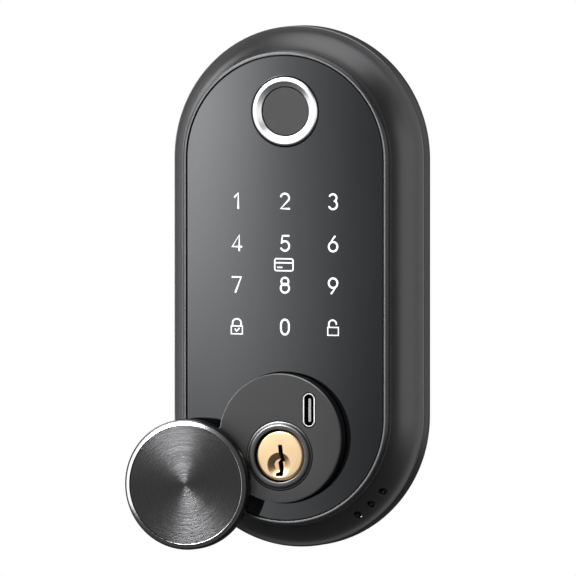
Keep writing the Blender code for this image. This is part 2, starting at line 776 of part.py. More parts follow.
def make_boss_magnet(parts):
    """Magnet that pulls the closed cover onto the boss."""
    high = BOSS_FRONT - MAGNET_SKIN - GAP
    magnet = disc("boss_magnet", MAGNET_RADIUS, high - MAGNET_LENGTH, high, parts, SMALL_STEPS)
    place_front(magnet, *boss_magnet_place())
    return magnet


def make_pivot_bush(parts):
    """Flanged bush in the boss that the cover's pin turns in and the cover rides on."""
    profile = [
        (BUSH_RADIUS, COVER_BACK - GAP), (BUSH_RADIUS, BOSS_BACK),
        (PIVOT_PIN_RADIUS + GAP, BOSS_BACK), (PIVOT_PIN_RADIUS + GAP, COVER_BACK - GAP),
    ]
    bush = turned("pivot_bush", profile, parts, SMALL_STEPS)
    place_front(bush, PIVOT_X, PIVOT_Z)
    return bush


def make_collar(parts):
    """Raised collar around the plug, with a sloping outer side."""
    profile = [
        (COLLAR_HOLE + COLLAR_EDGE, COLLAR_FRONT),
        (COLLAR_RADIUS - COLLAR_SLOPE, COLLAR_FRONT),
        (COLLAR_RADIUS - COLLAR_SLOPE + COLLAR_EDGE, COLLAR_FRONT - COLLAR_EDGE / 2),
        (COLLAR_RADIUS - COLLAR_EDGE, BOSS_FRONT + COLLAR_EDGE),
        (COLLAR_RADIUS, BOSS_FRONT),
        (COLLAR_RADIUS, BOSS_BACK),
        (COLLAR_HOLE, BOSS_BACK),
        (COLLAR_HOLE, COLLAR_FRONT - COLLAR_EDGE),
    ]
    collar = turned("key_collar", profile, parts)
    place_front(collar, 0.0, KEY_Z)
    return collar


def make_usb_shell(parts):
    """Oval metal shell of the power port."""
    inner_width = USB_WIDTH - 2 * USB_WALL
    inner_height = USB_HEIGHT - 2 * USB_WALL
    outlines = [
        rounded_box(USB_WIDTH, USB_HEIGHT, USB_WIDTH / 2, steps=6),
        rounded_box(inner_width, inner_height, inner_width / 2, steps=6),
    ]
    shell = plate("usb_shell", outlines, USB_BACK, BOSS_FRONT, parts)
    place_front(shell, USB_X, USB_Z)
    return shell


def make_usb_tongue(parts):
    """Contact tongue in the middle of the port."""
    tongue = plate("usb_tongue", [rounded_box(TONGUE_WIDTH, TONGUE_HEIGHT, GAP, steps=2)],
                   USB_BACK, BOSS_FRONT - TONGUE_WIDTH, parts)
    place_front(tongue, USB_X, USB_Z)
    return tongue


def make_usb_board(parts):
    """Small board that the power port is soldered to."""
    high = BOSS_BACK - GAP
    outline = rounded_box(5.0 * MM, 12.0 * MM, 0.8 * MM, steps=2)
    board = plate("usb_board", [outline], high - 1.0 * MM, high, parts)
    clear_of_collar = 1.2 * MM
    place_front(board, USB_X + clear_of_collar, USB_Z)
    return board


# ---------------------------------------------------------------- key cylinder

def cylinder_outline(margin, top_margin):
    """Outline of the cylinder body and its block of pin chambers, grown by a margin."""
    radius = CYLINDER_RADIUS + margin
    half = BIBLE_WIDTH / 2 + margin
    meeting_angle = acos(half / radius)
    sweep = pi + 2 * meeting_angle
    points = []
    for i in range(ROUND_STEPS + 1):
        turn = pi - meeting_angle + sweep * i / ROUND_STEPS
        points.append((radius * cos(turn), KEY_Z + radius * sin(turn)))
    points.append((half, KEY_Z + BIBLE_TOP + top_margin))
    points.append((-half, KEY_Z + BIBLE_TOP + top_margin))
    return points


def pin_heights():
    """Distance from the door of each pin stack."""
    return [FIRST_PIN - PIN_PITCH * i for i in range(PIN_COUNT)]


def upright_rod(name, radius, low, high, height, collection):
    """Rod along world z above the plug's axis, at this distance from the door."""
    piece = rod(name, radius, low, high, collection, steps=TINY_STEPS)
    piece.matrix_world = Matrix.Translation((0.0, -height, KEY_Z))
    return piece


def make_cylinder_body(parts, cutters):
    """Fixed body around the plug, with a block of pin chambers above it."""
    body = plate("cylinder_body", [cylinder_outline(0.0, 0.0)], CYLINDER_BACK, CYLINDER_FRONT, parts)
    place_front(body)
    through = (CYLINDER_BACK - 1.0 * MM, CYLINDER_FRONT + 1.0 * MM)
    bore = rod("plug_bore", PLUG_RADIUS + GAP, *through, cutters, steps=ROUND_STEPS)
    place_front(bore, 0.0, KEY_Z)
    cut(body, bore)
    for number, height in enumerate(pin_heights(), 1):
        chamber = upright_rod(f"chamber_{number}", PIN_HOLE, KEY_PIN_FOOT, BIBLE_TOP + GAP, height, cutters)
        cut(body, chamber)
    return body


def make_chamber_cover(parts):
    """Strip that closes the tops of the pin chambers."""
    length = PIN_PITCH * PIN_COUNT + 1.0 * MM
    middle = sum(pin_heights()) / PIN_COUNT
    low = BIBLE_TOP + GAP
    size = (BIBLE_WIDTH - 1.0 * MM, length, CHAMBER_COVER)
    cover = block("chamber_cover", size, (0.0, 0.0, low + CHAMBER_COVER / 2), parts)
    cover.matrix_world = Matrix.Translation((0.0, -middle, KEY_Z))
    bevel(cover, 0.2 * MM)
    return cover


def keyway_outline():
    """Cross-section of the keyway: a bent slot with a foot, so that only one kind of key blank fits."""
    right = [(0.62, 3.1), (1.18, -1.35), (0.6, -1.75), (0.95, -4.6), (0.85, -5.9)]
    foot = [(-1.35, -5.9), (-1.3, -5.0), (-0.35, -4.55)]
    left = [(-0.8, -1.9), (0.05, -0.85), (-0.35, 0.2), (-0.62, 3.1)]
    return [(x * MM, y * MM) for x, y in right + foot + left]


def make_key_plug(parts, cutters):
    """Brass plug: head, barrel, keyway in a shallow dish, pin holes and a slot for the tailpiece."""
    profile = [
        (0.0, PLUG_FRONT), (PLUG_HEAD_RADIUS - 1.4 * PLUG_EDGE, PLUG_FRONT),
        (PLUG_HEAD_RADIUS - 0.5 * PLUG_EDGE, PLUG_FRONT - 0.3 * PLUG_EDGE),
        (PLUG_HEAD_RADIUS, PLUG_FRONT - PLUG_EDGE),
        (PLUG_HEAD_RADIUS, PLUG_SHOULDER), (PLUG_RADIUS, PLUG_SHOULDER),
        (PLUG_RADIUS, GROOVE_HIGH), (PLUG_RADIUS - GROOVE_DEPTH, GROOVE_HIGH),
        (PLUG_RADIUS - GROOVE_DEPTH, GROOVE_LOW), (PLUG_RADIUS, GROOVE_LOW),
        (PLUG_RADIUS, PLUG_BACK), (0.0, PLUG_BACK),
    ]
    plug = turned("key_plug", profile, parts)
    keyway = plate("keyway", [keyway_outline()], PLUG_BACK + 4.0 * MM, PLUG_FRONT + 1.0 * MM, cutters)
    place_front(keyway, 0.0, KEY_Z)
    dish = turned("keyway_dish", dish_profile(), cutters, SMALL_STEPS)
    place_front(dish, DISH_X, KEY_Z - DISH_DROP)
    cut(plug, dish)
    cut(plug, keyway)
    for number, height in enumerate(pin_heights(), 1):
        low = KEY_PIN_FOOT - PIN_DROP - GAP
        hole = upright_rod(f"pin_hole_{number}", PIN_HOLE, low, CYLINDER_RADIUS, height, cutters)
        cut(plug, hole)
    slot_size = (TAILPIECE_WIDTH + 2 * GAP, TAILPIECE_THICKNESS + 2 * GAP, 2 * TAIL_SLOT_DEPTH)
    slot = block("tail_slot", slot_size, (0.0, 0.0, PLUG_BACK), cutters)
    place_front(slot, 0.0, KEY_Z)
    cut(plug, slot)
    place_front(plug, 0.0, KEY_Z)
    return plug


def dish_profile():
    """Shallow cone-shaped dish that guides the key's tip into the keyway."""
    above = 0.5 * MM
    return [
        (0.0, PLUG_FRONT + above), (DISH_RADIUS + above, PLUG_FRONT + above), (DISH_RADIUS, PLUG_FRONT),
        (DISH_RADIUS * 0.45, PLUG_FRONT - DISH_DEPTH), (0.0, PLUG_FRONT - DISH_DEPTH),
    ]


def make_plug_clip(parts):
    """Open spring clip in the groove at the plug's back end."""
    mouth = radians(40)
    inner = PLUG_RADIUS - GROOVE_DEPTH + GAP
    outer = PLUG_RADIUS + 1.5 * MM
    steps = 20
    turns = [mouth + (2 * pi - 2 * mouth) * i / steps for i in range(steps + 1)]
    points = [(outer * cos(turn), outer * sin(turn)) for turn in turns]
    points += [(inner * cos(turn), inner * sin(turn)) for turn in reversed(turns)]
    low = GROOVE_LOW + GAP / 2
    clip = plate("plug_clip", [points], low, low + 0.5 * MM, parts)
    place_front(clip, 0.0, KEY_Z)
    return clip


def make_tailpiece(parts):
    """Flat blade in the plug's back end that reaches through the door to the bolt."""
    high = PLUG_BACK + TAIL_SLOT_DEPTH - GAP
    low = PLUG_BACK - TAILPIECE_LENGTH
    tail = block("tailpiece", (TAILPIECE_WIDTH, TAILPIECE_THICKNESS, high - low),
                 (0.0, 0.0, (low + high) / 2), parts)
    bevel(tail, 0.3 * MM)
    place_front(tail, 0.0, KEY_Z)
    return tail


def make_pin_stack(number, height, parts):
    """One key pin, one driver pin and one spring, stacked above the plug's axis."""
    key_top = SHEAR_LINE - GAP / 2
    key_profile = [
        (0.0, key_top), (PIN_RADIUS, key_top), (PIN_RADIUS, KEY_PIN_FOOT + 0.7 * MM),
        (0.3 * MM, KEY_PIN_FOOT), (0.0, KEY_PIN_FOOT),
    ]
    key_pin = turned(f"key_pin_{number}", key_profile, parts, TINY_STEPS)
    low = SHEAR_LINE + GAP / 2
    high = low + DRIVER_LENGTH
    chamfer = 0.2 * MM
    driver_profile = [
        (0.0, high), (PIN_RADIUS - chamfer, high), (PIN_RADIUS, high - chamfer),
        (PIN_RADIUS, low), (0.0, low),
    ]
    driver = turned(f"driver_pin_{number}", driver_profile, parts, TINY_STEPS)
    spring = make_spring(f"pin_spring_{number}", high + GAP, BIBLE_TOP, parts)
    for piece in (key_pin, driver, spring):
        piece.matrix_world = Matrix.Translation((0.0, -height, KEY_Z))
    return key_pin, driver, spring


def make_spring(name, low, high, parts):
    """Coil spring along local z, between these two heights."""
    curve = bpy.data.curves.new(name + "_curve", "CURVE")
    curve.dimensions = "3D"
    curve.bevel_depth = SPRING_WIRE
    curve.bevel_resolution = 2
    curve.use_fill_caps = True
    points_per_turn = 8
    count = SPRING_TURNS * points_per_turn + 1
    spline = curve.splines.new("POLY")
    spline.points.add(count - 1)
    start = low + SPRING_WIRE
    rise = high - low - 2 * SPRING_WIRE
    for i, point in enumerate(spline.points):
        turn = 2 * pi * i / points_per_turn
        share = i / (count - 1)
        point.co = (SPRING_RADIUS * cos(turn), SPRING_RADIUS * sin(turn), start + rise * share, 1.0)
    holder = add_mesh(name + "_curve", curve, parts)
    return add_mesh(name, solid_mesh_of(holder, name), parts)


# ---------------------------------------------------------------- swinging cover

def cover_offset():
    """From the cover's pin to the middle of the cover when it is open, in the door's plane."""
    return Vector((PIVOT_X, PIVOT_Z - BOSS_Z))


def off_pivot(piece, offset):
    """Move a turned piece sideways from its own axis, so that its origin is on the cover's pin."""
    bpy.context.view_layer.update()
    evaluated = piece.evaluated_get(bpy.context.evaluated_depsgraph_get())
    piece.data = bpy.data.meshes.new_from_object(evaluated)
    piece.modifiers.clear()
    piece.data.transform(Matrix.Translation((offset.x, offset.y, 0.0)))
    place_front(piece, PIVOT_X, PIVOT_Z)


def make_cover_shell(parts, cutters):
    """Cup of the cover: side wall, polished bevel and a recess in front for the spun insert."""
    inner_radius = COVER_RADIUS - COVER_SKIN
    profile = [
        (COVER_BEVEL_INNER, COVER_FRONT), (COVER_BEVEL_OUTER, COVER_FRONT - 0.45 * MM),
        (COVER_RADIUS - 0.12 * MM, COVER_WALL_TOP - 0.05 * MM), (COVER_RADIUS, COVER_WALL_TOP - 0.4 * MM),
        (COVER_RADIUS, COVER_BACK + 0.2 * MM), (COVER_RADIUS - 0.2 * MM, COVER_BACK),
        (inner_radius, COVER_BACK), (inner_radius, COVER_INSIDE), (0.0, COVER_INSIDE),
    ]
    back_to_front = [(0.0, COVER_RECESS), (COVER_BEVEL_INNER, COVER_RECESS)]
    shell = turned("cover_shell", back_to_front + profile, parts, LARGE_STEPS)
    pin_hole = rod("cover_pin_hole", PIVOT_NECK_RADIUS + GAP, COVER_BACK, COVER_FRONT, cutters)
    off_pivot(shell, cover_offset())
    place_front(pin_hole, PIVOT_X, PIVOT_Z)
    cut(shell, pin_hole)
    return shell


def make_cover_face(parts):
    """Spun metal insert in the front of the cover."""
    radius = COVER_BEVEL_INNER - 0.2 * MM
    front = COVER_FRONT - 0.05 * MM
    low = COVER_RECESS + GAP
    face = disc("cover_face", radius, low, front, parts, LARGE_STEPS, edge=0.1 * MM)
    off_pivot(face, cover_offset())
    return face


def make_cover_liner(parts, cutters):
    """Plastic disc in the back of the cover that holds its magnet."""
    high = COVER_INSIDE - GAP
    liner = disc("cover_liner", COVER_RADIUS - COVER_SKIN - GAP, COVER_BACK + 0.1 * MM, high, parts)
    off_pivot(liner, cover_offset())
    pin_hole = rod("liner_pin_hole", PIVOT_PIN_RADIUS + GAP, COVER_BACK - 1.0 * MM, high + 1.0 * MM, cutters)
    place_front(pin_hole, PIVOT_X, PIVOT_Z)
    cut(liner, pin_hole)
    pocket = rod("liner_magnet_pocket", MAGNET_RADIUS + GAP, LINER_POCKET, high + 1.0 * MM, cutters)
    place_front(pocket, *cover_magnet_place())
    cut(liner, pocket)
    return liner


def cover_magnet_place():
    """Place of the cover's magnet when open: the closed cover brings it over the boss's magnet."""
    boss_x, boss_z = boss_magnet_place()
    return 2 * PIVOT_X - boss_x, 2 * PIVOT_Z - boss_z


def make_cover_magnet(parts):
    """Small magnet in the liner."""
    low = LINER_POCKET + GAP
    magnet = disc("cover_magnet", MAGNET_RADIUS, low, COVER_INSIDE - GAP, parts, SMALL_STEPS)
    x, z = cover_magnet_place()
    off_pivot(magnet, Vector((x - PIVOT_X, z - PIVOT_Z)))
    return magnet


def make_cover_pivot_pin(parts):
    """Shouldered pin fixed in the cover, with a groove for its clip behind the boss."""
    radius = PIVOT_PIN_RADIUS
    neck = PIVOT_NECK_RADIUS
    profile = [
        (0.0, COVER_RECESS - GAP), (neck, COVER_RECESS - GAP), (neck, COVER_INSIDE - GAP),
        (radius, COVER_INSIDE - GAP), (radius, PIVOT_GROOVE_HIGH),
        (neck, PIVOT_GROOVE_HIGH), (neck, PIVOT_GROOVE_LOW), (radius, PIVOT_GROOVE_LOW),
        (radius, PIVOT_TIP), (0.0, PIVOT_TIP),
    ]
    pin = turned("cover_pivot_pin", profile, parts, SMALL_STEPS)
    place_front(pin, PIVOT_X, PIVOT_Z)
    return pin


def make_pivot_clip(parts):
    """Washer-like clip on the pin's groove, behind the boss."""
    low = PIVOT_GROOVE_LOW + 0.2 * MM
    outer = BUSH_RADIUS + 0.8 * MM
    clip = disc("pivot_clip", outer, low, low + 0.5 * MM, parts, SMALL_STEPS, hole=PIVOT_NECK_RADIUS + GAP)
    place_front(clip, PIVOT_X, PIVOT_Z)
    return clip


# ---------------------------------------------------------------- assembly

def build():
    """Make every part, and give each its own material."""
    clear_scene()
    parts = new_collection("keypad_smart_lock")
    cutters = new_collection("cutters")
    finished = [
        (make_housing(parts, cutters), "gunmetal"),
        (make_bezel(parts), "bezel_metal"),
        (make_glass(parts), "black_glass"),
        (make_back_plate(parts, cutters), "steel"),
        (make_gasket(parts), "rubber_black"),
        (make_grommet(parts), "rubber_black"),
        (make_fingerprint_ring(parts), "polished_steel"),
        (make_fingerprint_sensor(parts), "sensor_grey"),
        (make_sensor_board(parts), "board_green"),
        (make_light_guide(parts, cutters), "white_plastic"),
        (make_touch_board(parts), "board_green"),
        (make_card_antenna(parts), "copper"),
        (make_main_board(parts), "board_green"),
        (make_controller_chip(parts), "chip_black"),
        (make_board_connector(parts, cutters), "white_plastic"),
        (make_speaker(parts), "chip_black"),
        (make_key_boss(parts, cutters), "matt_black"),
        (make_boss_magnet(parts), "nickel"),
        (make_pivot_bush(parts), "brass"),
        (make_collar(parts), "satin_black"),
        (make_usb_shell(parts), "polished_steel"),
        (make_usb_tongue(parts), "pale_plastic"),
        (make_usb_board(parts), "board_green"),
        (make_cylinder_body(parts, cutters), "brass"),
        (make_chamber_cover(parts), "brass"),
        (make_key_plug(parts, cutters), "brass"),
        (make_plug_clip(parts), "steel"),
        (make_tailpiece(parts), "steel"),
        (make_cover_shell(parts, cutters), "satin_black"),
        (make_cover_face(parts), "spun_metal"),
        (make_cover_liner(parts, cutters), "chip_black"),
        (make_cover_magnet(parts), "nickel"),
        (make_cover_pivot_pin(parts), "steel"),
        (make_pivot_clip(parts), "steel"),
    ]
    finished += [(screw, "steel") for screw in make_housing_screws(parts, cutters)]
    finished += [(post, "nickel") for post in make_mounting_posts(parts)]
    for number, height in enumerate(pin_heights(), 1):
        key_pin, driver, spring = make_pin_stack(number, height, parts)
        finished += [(key_pin, "brass"), (driver, "nickel"), (spring, "steel")]
    for part, colour_name in finished:
        give_material(part, colour_name)
        smooth(part)


build()
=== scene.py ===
# %% [markdown]
# # A keypad smart lock
# The outside unit of a door lock: a stadium-shaped metal case, a black touch glass with printed keys, a
# fingerprint reader, a round boss with the brass key plug and the power port, and a round cover that swings
# on a pin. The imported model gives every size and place. This lesson gives each visible piece a finer shape
# and a finish, then sets up the camera and the studio.

from math import cos, pi, radians, sin

import bmesh
import bpy
from mathutils import Matrix, Vector


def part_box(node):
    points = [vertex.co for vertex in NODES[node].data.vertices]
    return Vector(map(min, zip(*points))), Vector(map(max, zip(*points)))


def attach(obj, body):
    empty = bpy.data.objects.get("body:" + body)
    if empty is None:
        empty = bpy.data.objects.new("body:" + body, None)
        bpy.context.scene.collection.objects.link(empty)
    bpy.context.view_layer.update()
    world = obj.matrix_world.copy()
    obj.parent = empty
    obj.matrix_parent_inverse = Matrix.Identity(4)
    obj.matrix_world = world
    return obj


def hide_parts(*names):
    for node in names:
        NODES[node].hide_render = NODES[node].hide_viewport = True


MM = 0.001
UNLIT = (0.004, 0.004, 0.004)
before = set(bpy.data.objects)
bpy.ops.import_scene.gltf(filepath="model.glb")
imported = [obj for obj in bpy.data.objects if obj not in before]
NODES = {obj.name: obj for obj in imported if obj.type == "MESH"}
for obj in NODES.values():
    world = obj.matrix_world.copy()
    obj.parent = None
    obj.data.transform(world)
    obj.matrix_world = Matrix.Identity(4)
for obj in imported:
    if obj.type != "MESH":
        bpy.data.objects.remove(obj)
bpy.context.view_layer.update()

# %% [markdown]
# ## Sizes
# Heights are measured from the door outwards, so a height h is at Y = -h. Most of them are read from the
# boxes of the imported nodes, so that the fine pieces lie exactly where the solid ones did.

# %% Read the sizes that the pieces share
case_low, case_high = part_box("housing")
BODY_RADIUS = case_high.x
ARC = case_high.z - BODY_RADIUS
COVE_TOP = -case_low.y
RIM_BACK = -case_high.y
glass_low, glass_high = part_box("glass_panel")
GLASS_RADIUS = glass_high.x
GLASS_FRONT = -glass_low.y
GLASS_BACK = -glass_high.y
bezel_low, bezel_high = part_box("glass_bezel")
BEZEL_OUTER = bezel_high.x
BEZEL_FRONT = -bezel_low.y
BEZEL_BACK = -bezel_high.y
BEZEL_INNER = GLASS_RADIUS + 0.3 * MM


def middle(node):
    """Centre of a CAD node's box."""
    low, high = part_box(node)
    return (low + high) / 2


FINGER = middle("fingerprint_ring")
BOSS = middle("key_boss")
KEY = middle("key_collar")
PORT = middle("usb_shell")
PIVOT = middle("cover_pivot_pin")
COVER = middle("cover_shell")
BOSS_FRONT = -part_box("key_boss")[0].y
BOSS_BACK = -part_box("key_boss")[1].y
COLLAR_FRONT = -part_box("key_collar")[0].y
PLUG_FRONT = -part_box("key_plug")[0].y
COVER_FRONT = -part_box("cover_shell")[0].y
COVER_BACK = -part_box("cover_shell")[1].y
COVER_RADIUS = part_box("cover_shell")[1].x - COVER.x
print("arc centre, mm:", round(ARC / MM, 2), " glass front, mm:", round(GLASS_FRONT / MM, 2))

# %% [markdown]
# ## Working by hand, in code
# Each piece starts as a primitive and is shaped in edit mode. Operators act on what is selected, so everything
# is deselected first, and points are picked by where they are.

# %% Selecting, editing and finishing a piece
MERGE_DISTANCE = 0.002 * MM


def deselect():
    """Deselect every object."""
    bpy.ops.object.select_all(action="DESELECT")


def link(made):
    """Put a new object into the scene."""
    bpy.context.scene.collection.objects.link(made)


def select_only(piece):
    """Make one object the only selected and active one."""
    deselect()
    piece.select_set(True)
    bpy.context.view_layer.objects.active = piece


def start_edit(piece):
    """Open a piece in edit mode with all of its points selected."""
    select_only(piece)
    bpy.ops.object.mode_set(mode="EDIT")
    bpy.ops.mesh.select_mode(type="VERT")
    bpy.ops.mesh.select_all(action="SELECT")


def end_edit():
    """Leave edit mode."""
    bpy.ops.object.mode_set(mode="OBJECT")


def pick(test):
    """Select the points of the open mesh whose place passes the test."""
    bpy.ops.mesh.select_all(action="DESELECT")
    mesh = bpy.context.edit_object.data
    work = bmesh.from_edit_mesh(mesh)
    for vert in work.verts:
        vert.select = test(vert.co)
    work.select_flush_mode()
    bmesh.update_edit_mesh(mesh)


def merge_and_face_out():
    """Close the seams of the open mesh and turn its faces outwards."""
    bpy.ops.mesh.select_all(action="SELECT")
    bpy.ops.mesh.remove_doubles(threshold=MERGE_DISTANCE)
    bpy.ops.mesh.normals_make_consistent(inside=False)


def smooth(piece, angle=30):
    """Shade a piece smooth, except across edges sharper than this many degrees."""
    select_only(piece)
    bpy.ops.object.shade_smooth_by_angle(angle=radians(angle))
    return piece


def round_edges(piece, width, segments=2, angle=30):
    """Round the sharp edges of a piece."""
    select_only(piece)
    bpy.ops.object.modifier_add(type="BEVEL")
    step = piece.modifiers[-1]
    step.width = width
    step.segments = segments
    step.limit_method = "ANGLE"
    step.angle_limit = radians(angle)
    bpy.ops.object.modifier_apply(modifier=step.name)


def cut(piece, cutter):
    """Cut one closed piece out of another and remove the cutter."""
    select_only(piece)
    bpy.ops.object.modifier_add(type="BOOLEAN")
    step = piece.modifiers[-1]
    step.operation = "DIFFERENCE"
    step.solver = "EXACT"
    step.object = cutter
    bpy.ops.object.modifier_apply(modifier=step.name)
    bpy.data.objects.remove(cutter)


# %% [markdown]
# ## Turned and swept pieces
# Nearly every piece is turned on a lathe or follows the stadium of the case. Either way a profile is drawn
# first by extruding one point from place to place. It is then spun around an axis, or spun half a turn at
# each end of the case and extruded straight in between.

# %% Draw a profile, then spin it
def draw_profile(name, places):
    """Draw a closed line through these places by extruding one point along them."""
    deselect()
    bpy.ops.mesh.primitive_plane_add(size=MM)
    piece = bpy.context.object
    piece.name = name
    piece.data.name = name
    start_edit(piece)
    bpy.ops.mesh.merge(type="CENTER")
    bpy.ops.transform.translate(value=places[0])
    for here, there in zip(places, places[1:]):
        bpy.ops.mesh.extrude_vertices_move(TRANSFORM_OT_translate={"value": there - here})
    return piece


def close_profile(places):
    """Join the last point of the open mesh to the first."""
    ends = (places[0], places[-1])
    pick(lambda co: min((co - end).length for end in ends) < MERGE_DISTANCE / 2)
    bpy.ops.mesh.edge_face_add()


def turned(name, profile, x, z, steps=96):
    """Turn a profile of (radius, height) points in mm about an axis through x, z that points at the user."""
    places = [Vector((x + radius * MM, -height * MM, z)) for radius, height in profile]
    piece = draw_profile(name, places)
    if profile[0][0] > 0 or profile[-1][0] > 0:
        close_profile(places)
    bpy.ops.mesh.select_all(action="SELECT")
    bpy.ops.mesh.spin(steps=steps, angle=2 * pi, center=(x, 0, z), axis=(0, 1, 0))
    merge_and_face_out()
    end_edit()
    return piece


def swept(name, profile, steps=64):
    """Sweep a profile of (radius, height) points in mm around the stadium of the case."""
    places = [Vector((radius * MM, -height * MM, -ARC)) for radius, height in profile]
    piece = draw_profile(name, places)
    close_profile(places)
    bpy.ops.mesh.select_all(action="SELECT")
    for side in (1, -1):
        bpy.ops.mesh.extrude_edges_move(TRANSFORM_OT_translate={"value": (0, 0, 2 * ARC * side)})
        bpy.ops.mesh.spin(steps=steps, angle=pi, center=(0, 0, ARC * side), axis=(0, 1, 0))
    merge_and_face_out()
    end_edit()
    return piece


def rod(name, radius, low, high, x, z, vertices=48):
    """Straight round rod between two heights, as a cutter or a post. Sizes in mm, place in m."""
    deselect()
    bpy.ops.mesh.primitive_cylinder_add(
        vertices=vertices, radius=radius * MM, depth=(high - low) * MM,
        location=(x, -(low + high) / 2 * MM, z), rotation=(pi / 2, 0, 0),
    )
    piece = bpy.context.object
    piece.name = name
    bpy.ops.object.transform_apply()
    return piece


def stretched_disc(name, radius, half_length, low, high, x, z, points=190):
    """Flat plate with round ends: a disc whose upper and lower halves are pulled apart. Sizes in mm."""
    deselect()
    bpy.ops.mesh.primitive_circle_add(
        vertices=points, radius=radius * MM, fill_type="NGON",
        location=(x, -low * MM, z), rotation=(pi / 2, 0, 0),
    )
    piece = bpy.context.object
    piece.name = name
    bpy.ops.object.transform_apply()
    start_edit(piece)
    for side in (1, -1):
        pick(lambda co: (co.z - z) * side > 0)
        bpy.ops.transform.translate(value=(0, 0, half_length * MM * side))
    bpy.ops.mesh.select_all(action="SELECT")
    bpy.ops.mesh.extrude_region_move(TRANSFORM_OT_translate={"value": (0, -(high - low) * MM, 0)})
    merge_and_face_out()
    end_edit()
    return piece


def arc(centre, size, start, end, steps):
    """Points of an arc: a centre, one or two radii, and start and end angles in degrees."""
    across, up = size if isinstance(size, tuple) else (size, size)
    turns = [radians(start + (end - start) * i / steps) for i in range(steps + 1)]
    return [(centre[0] + across * cos(turn), centre[1] + up * sin(turn)) for turn in turns]


# %% [markdown]
# ## Shader nodes as sums
# A finish is a material built from nodes. `Wire` wraps one output socket, so that adding or multiplying wires
# in Python adds the Math nodes. `Network.node` makes any other node from its type, settings and inputs.

# %% Wires and networks
class Wire:
    """One output socket of a node, usable in Python sums."""

    def __init__(self, network, socket):
        self.network = network
        self.socket = socket

    def math(self, operation, *values, clamp=False):
        """Add a Math node that works on these values."""
        settings = {"operation": operation, "use_clamp": clamp}
        return self.network.node("ShaderNodeMath", settings, dict(enumerate(values)))

    def __add__(self, other):
        return self.math("ADD", self, other)

    def __radd__(self, other):
        return self.math("ADD", other, self)

    def __sub__(self, other):
        return self.math("SUBTRACT", self, other)

    def __rsub__(self, other):
        return self.math("SUBTRACT", other, self)

    def __mul__(self, other):
        return self.math("MULTIPLY", self, other)

    def __truediv__(self, other):
        return self.math("DIVIDE", self, other)

    def __pow__(self, other):
        return self.math("POWER", self, other)

    def __abs__(self):
        return self.math("ABSOLUTE", self)

    def clamp(self):
        """Keep the value between 0 and 1."""
        return self.math("ADD", self, 0.0, clamp=True)


class Network:
    """A tree of shader nodes."""

    def __init__(self, tree):
        self.tree = tree

    def join(self, socket, value):
        """Give a socket a link, a number or a colour."""
        if isinstance(value, Wire):
            self.tree.links.new(value.socket, socket)
        elif isinstance(value, tuple) and socket.type == "RGBA":
            socket.default_value = (*value, 1.0)
        else:
            socket.default_value = value

    def node(self, kind, settings=(), inputs=(), output=0):
        """Add any node: settings first, then the values or links of its sockets."""
        made = self.tree.nodes.new(kind)
        for key, value in dict(settings).items():
            setattr(made, key, value)
        for key, value in dict(inputs).items():
            self.join(made.inputs[key], value)
        return Wire(self, made.outputs[output])


# %% [markdown]
# ## Finishes
# A `Finish` is a network with a Principled shader. It offers the few patterns that the lock needs: noise of a
# given size, the distance from an axis, a band around a value and a bumpy surface. `wear` puts a finish on a
# new piece and hides the packed ones it stands for, and `repaint` puts one on a imported piece.

# %% Finishes
class Finish(Network):
    """A material under construction, with its Principled shader."""

    def __init__(self, name, slot, **values):
        self.material = bpy.data.materials.new(name)
        self.material.use_nodes = True
        super().__init__(self.material.node_tree)
        self.shader = self.tree.nodes["Principled BSDF"]
        self.slot = slot
        for key, value in values.items():
            socket = self.shader.inputs[key.replace("_", " ")]
            socket.default_value = (*value, 1.0) if isinstance(value, tuple) else value
        self.place = self.node("ShaderNodeTexCoord", output="Object")

    def set(self, name, value):
        """Feed one of the shader's inputs."""
        self.join(self.shader.inputs[name], value)

    def mix(self, factor, first, second):
        """Blend two colours."""
        inputs = {0: factor, 6: first, 7: second}
        return self.node("ShaderNodeMix", {"data_type": "RGBA"}, inputs, output=2)

    def noise(self, size, detail=2.0, roughness=0.5, stretch=(1, 1, 1)):
        """Noise in object space with patches about this many metres across."""
        where = self.node("ShaderNodeMapping", inputs={0: self.place, "Scale": stretch})
        inputs = {"Vector": where, "Scale": 1 / size, "Detail": detail, "Roughness": roughness}
        return self.node("ShaderNodeTexNoise", inputs=inputs)

    def axes(self, centre=(0, 0, 0)):
        """The x, y and z distances from a centre, in metres."""
        inputs = {0: self.place, "Location": tuple(-c for c in centre)}
        moved = self.node("ShaderNodeMapping", inputs=inputs)
        split = self.node("ShaderNodeSeparateXYZ", inputs={0: moved}).socket.node
        return [Wire(self, split.outputs[i]) for i in range(3)]

    def radius(self, centre):
        """Distance from an axis through this centre that points at the user."""
        x, _, z = self.axes(centre)
        return (x * x + z * z) ** 0.5

    def bump(self, height, distance):
        """Turn a height from 0 to 1 into a bumpy surface this many metres deep."""
        inputs = {"Height": height, "Distance": distance, "Strength": 1.0}
        self.set("Normal", self.node("ShaderNodeBump", inputs=inputs))

    def band(self, value, centre, width):
        """1 where the value is at the centre, fading to 0 at this distance from it."""
        return (1 - abs(value - centre) / width).clamp()


def wear(piece, finish, body=None, replaces=()):
    """Give a piece its finish and body, and hide the CAD nodes that it stands for."""
    piece.data.materials.clear()
    piece.data.materials.append(finish.material)
    if body:
        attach(piece, body)
    if replaces:
        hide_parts(*replaces)
    print(piece.name, len(piece.data.polygons), "faces,", finish.material.name)


def repaint(finish, *nodes):
    """Give CAD nodes that keep their shape a better material."""
    for name in nodes:
        for slot in NODES[name].material_slots:
            slot.material = finish.material
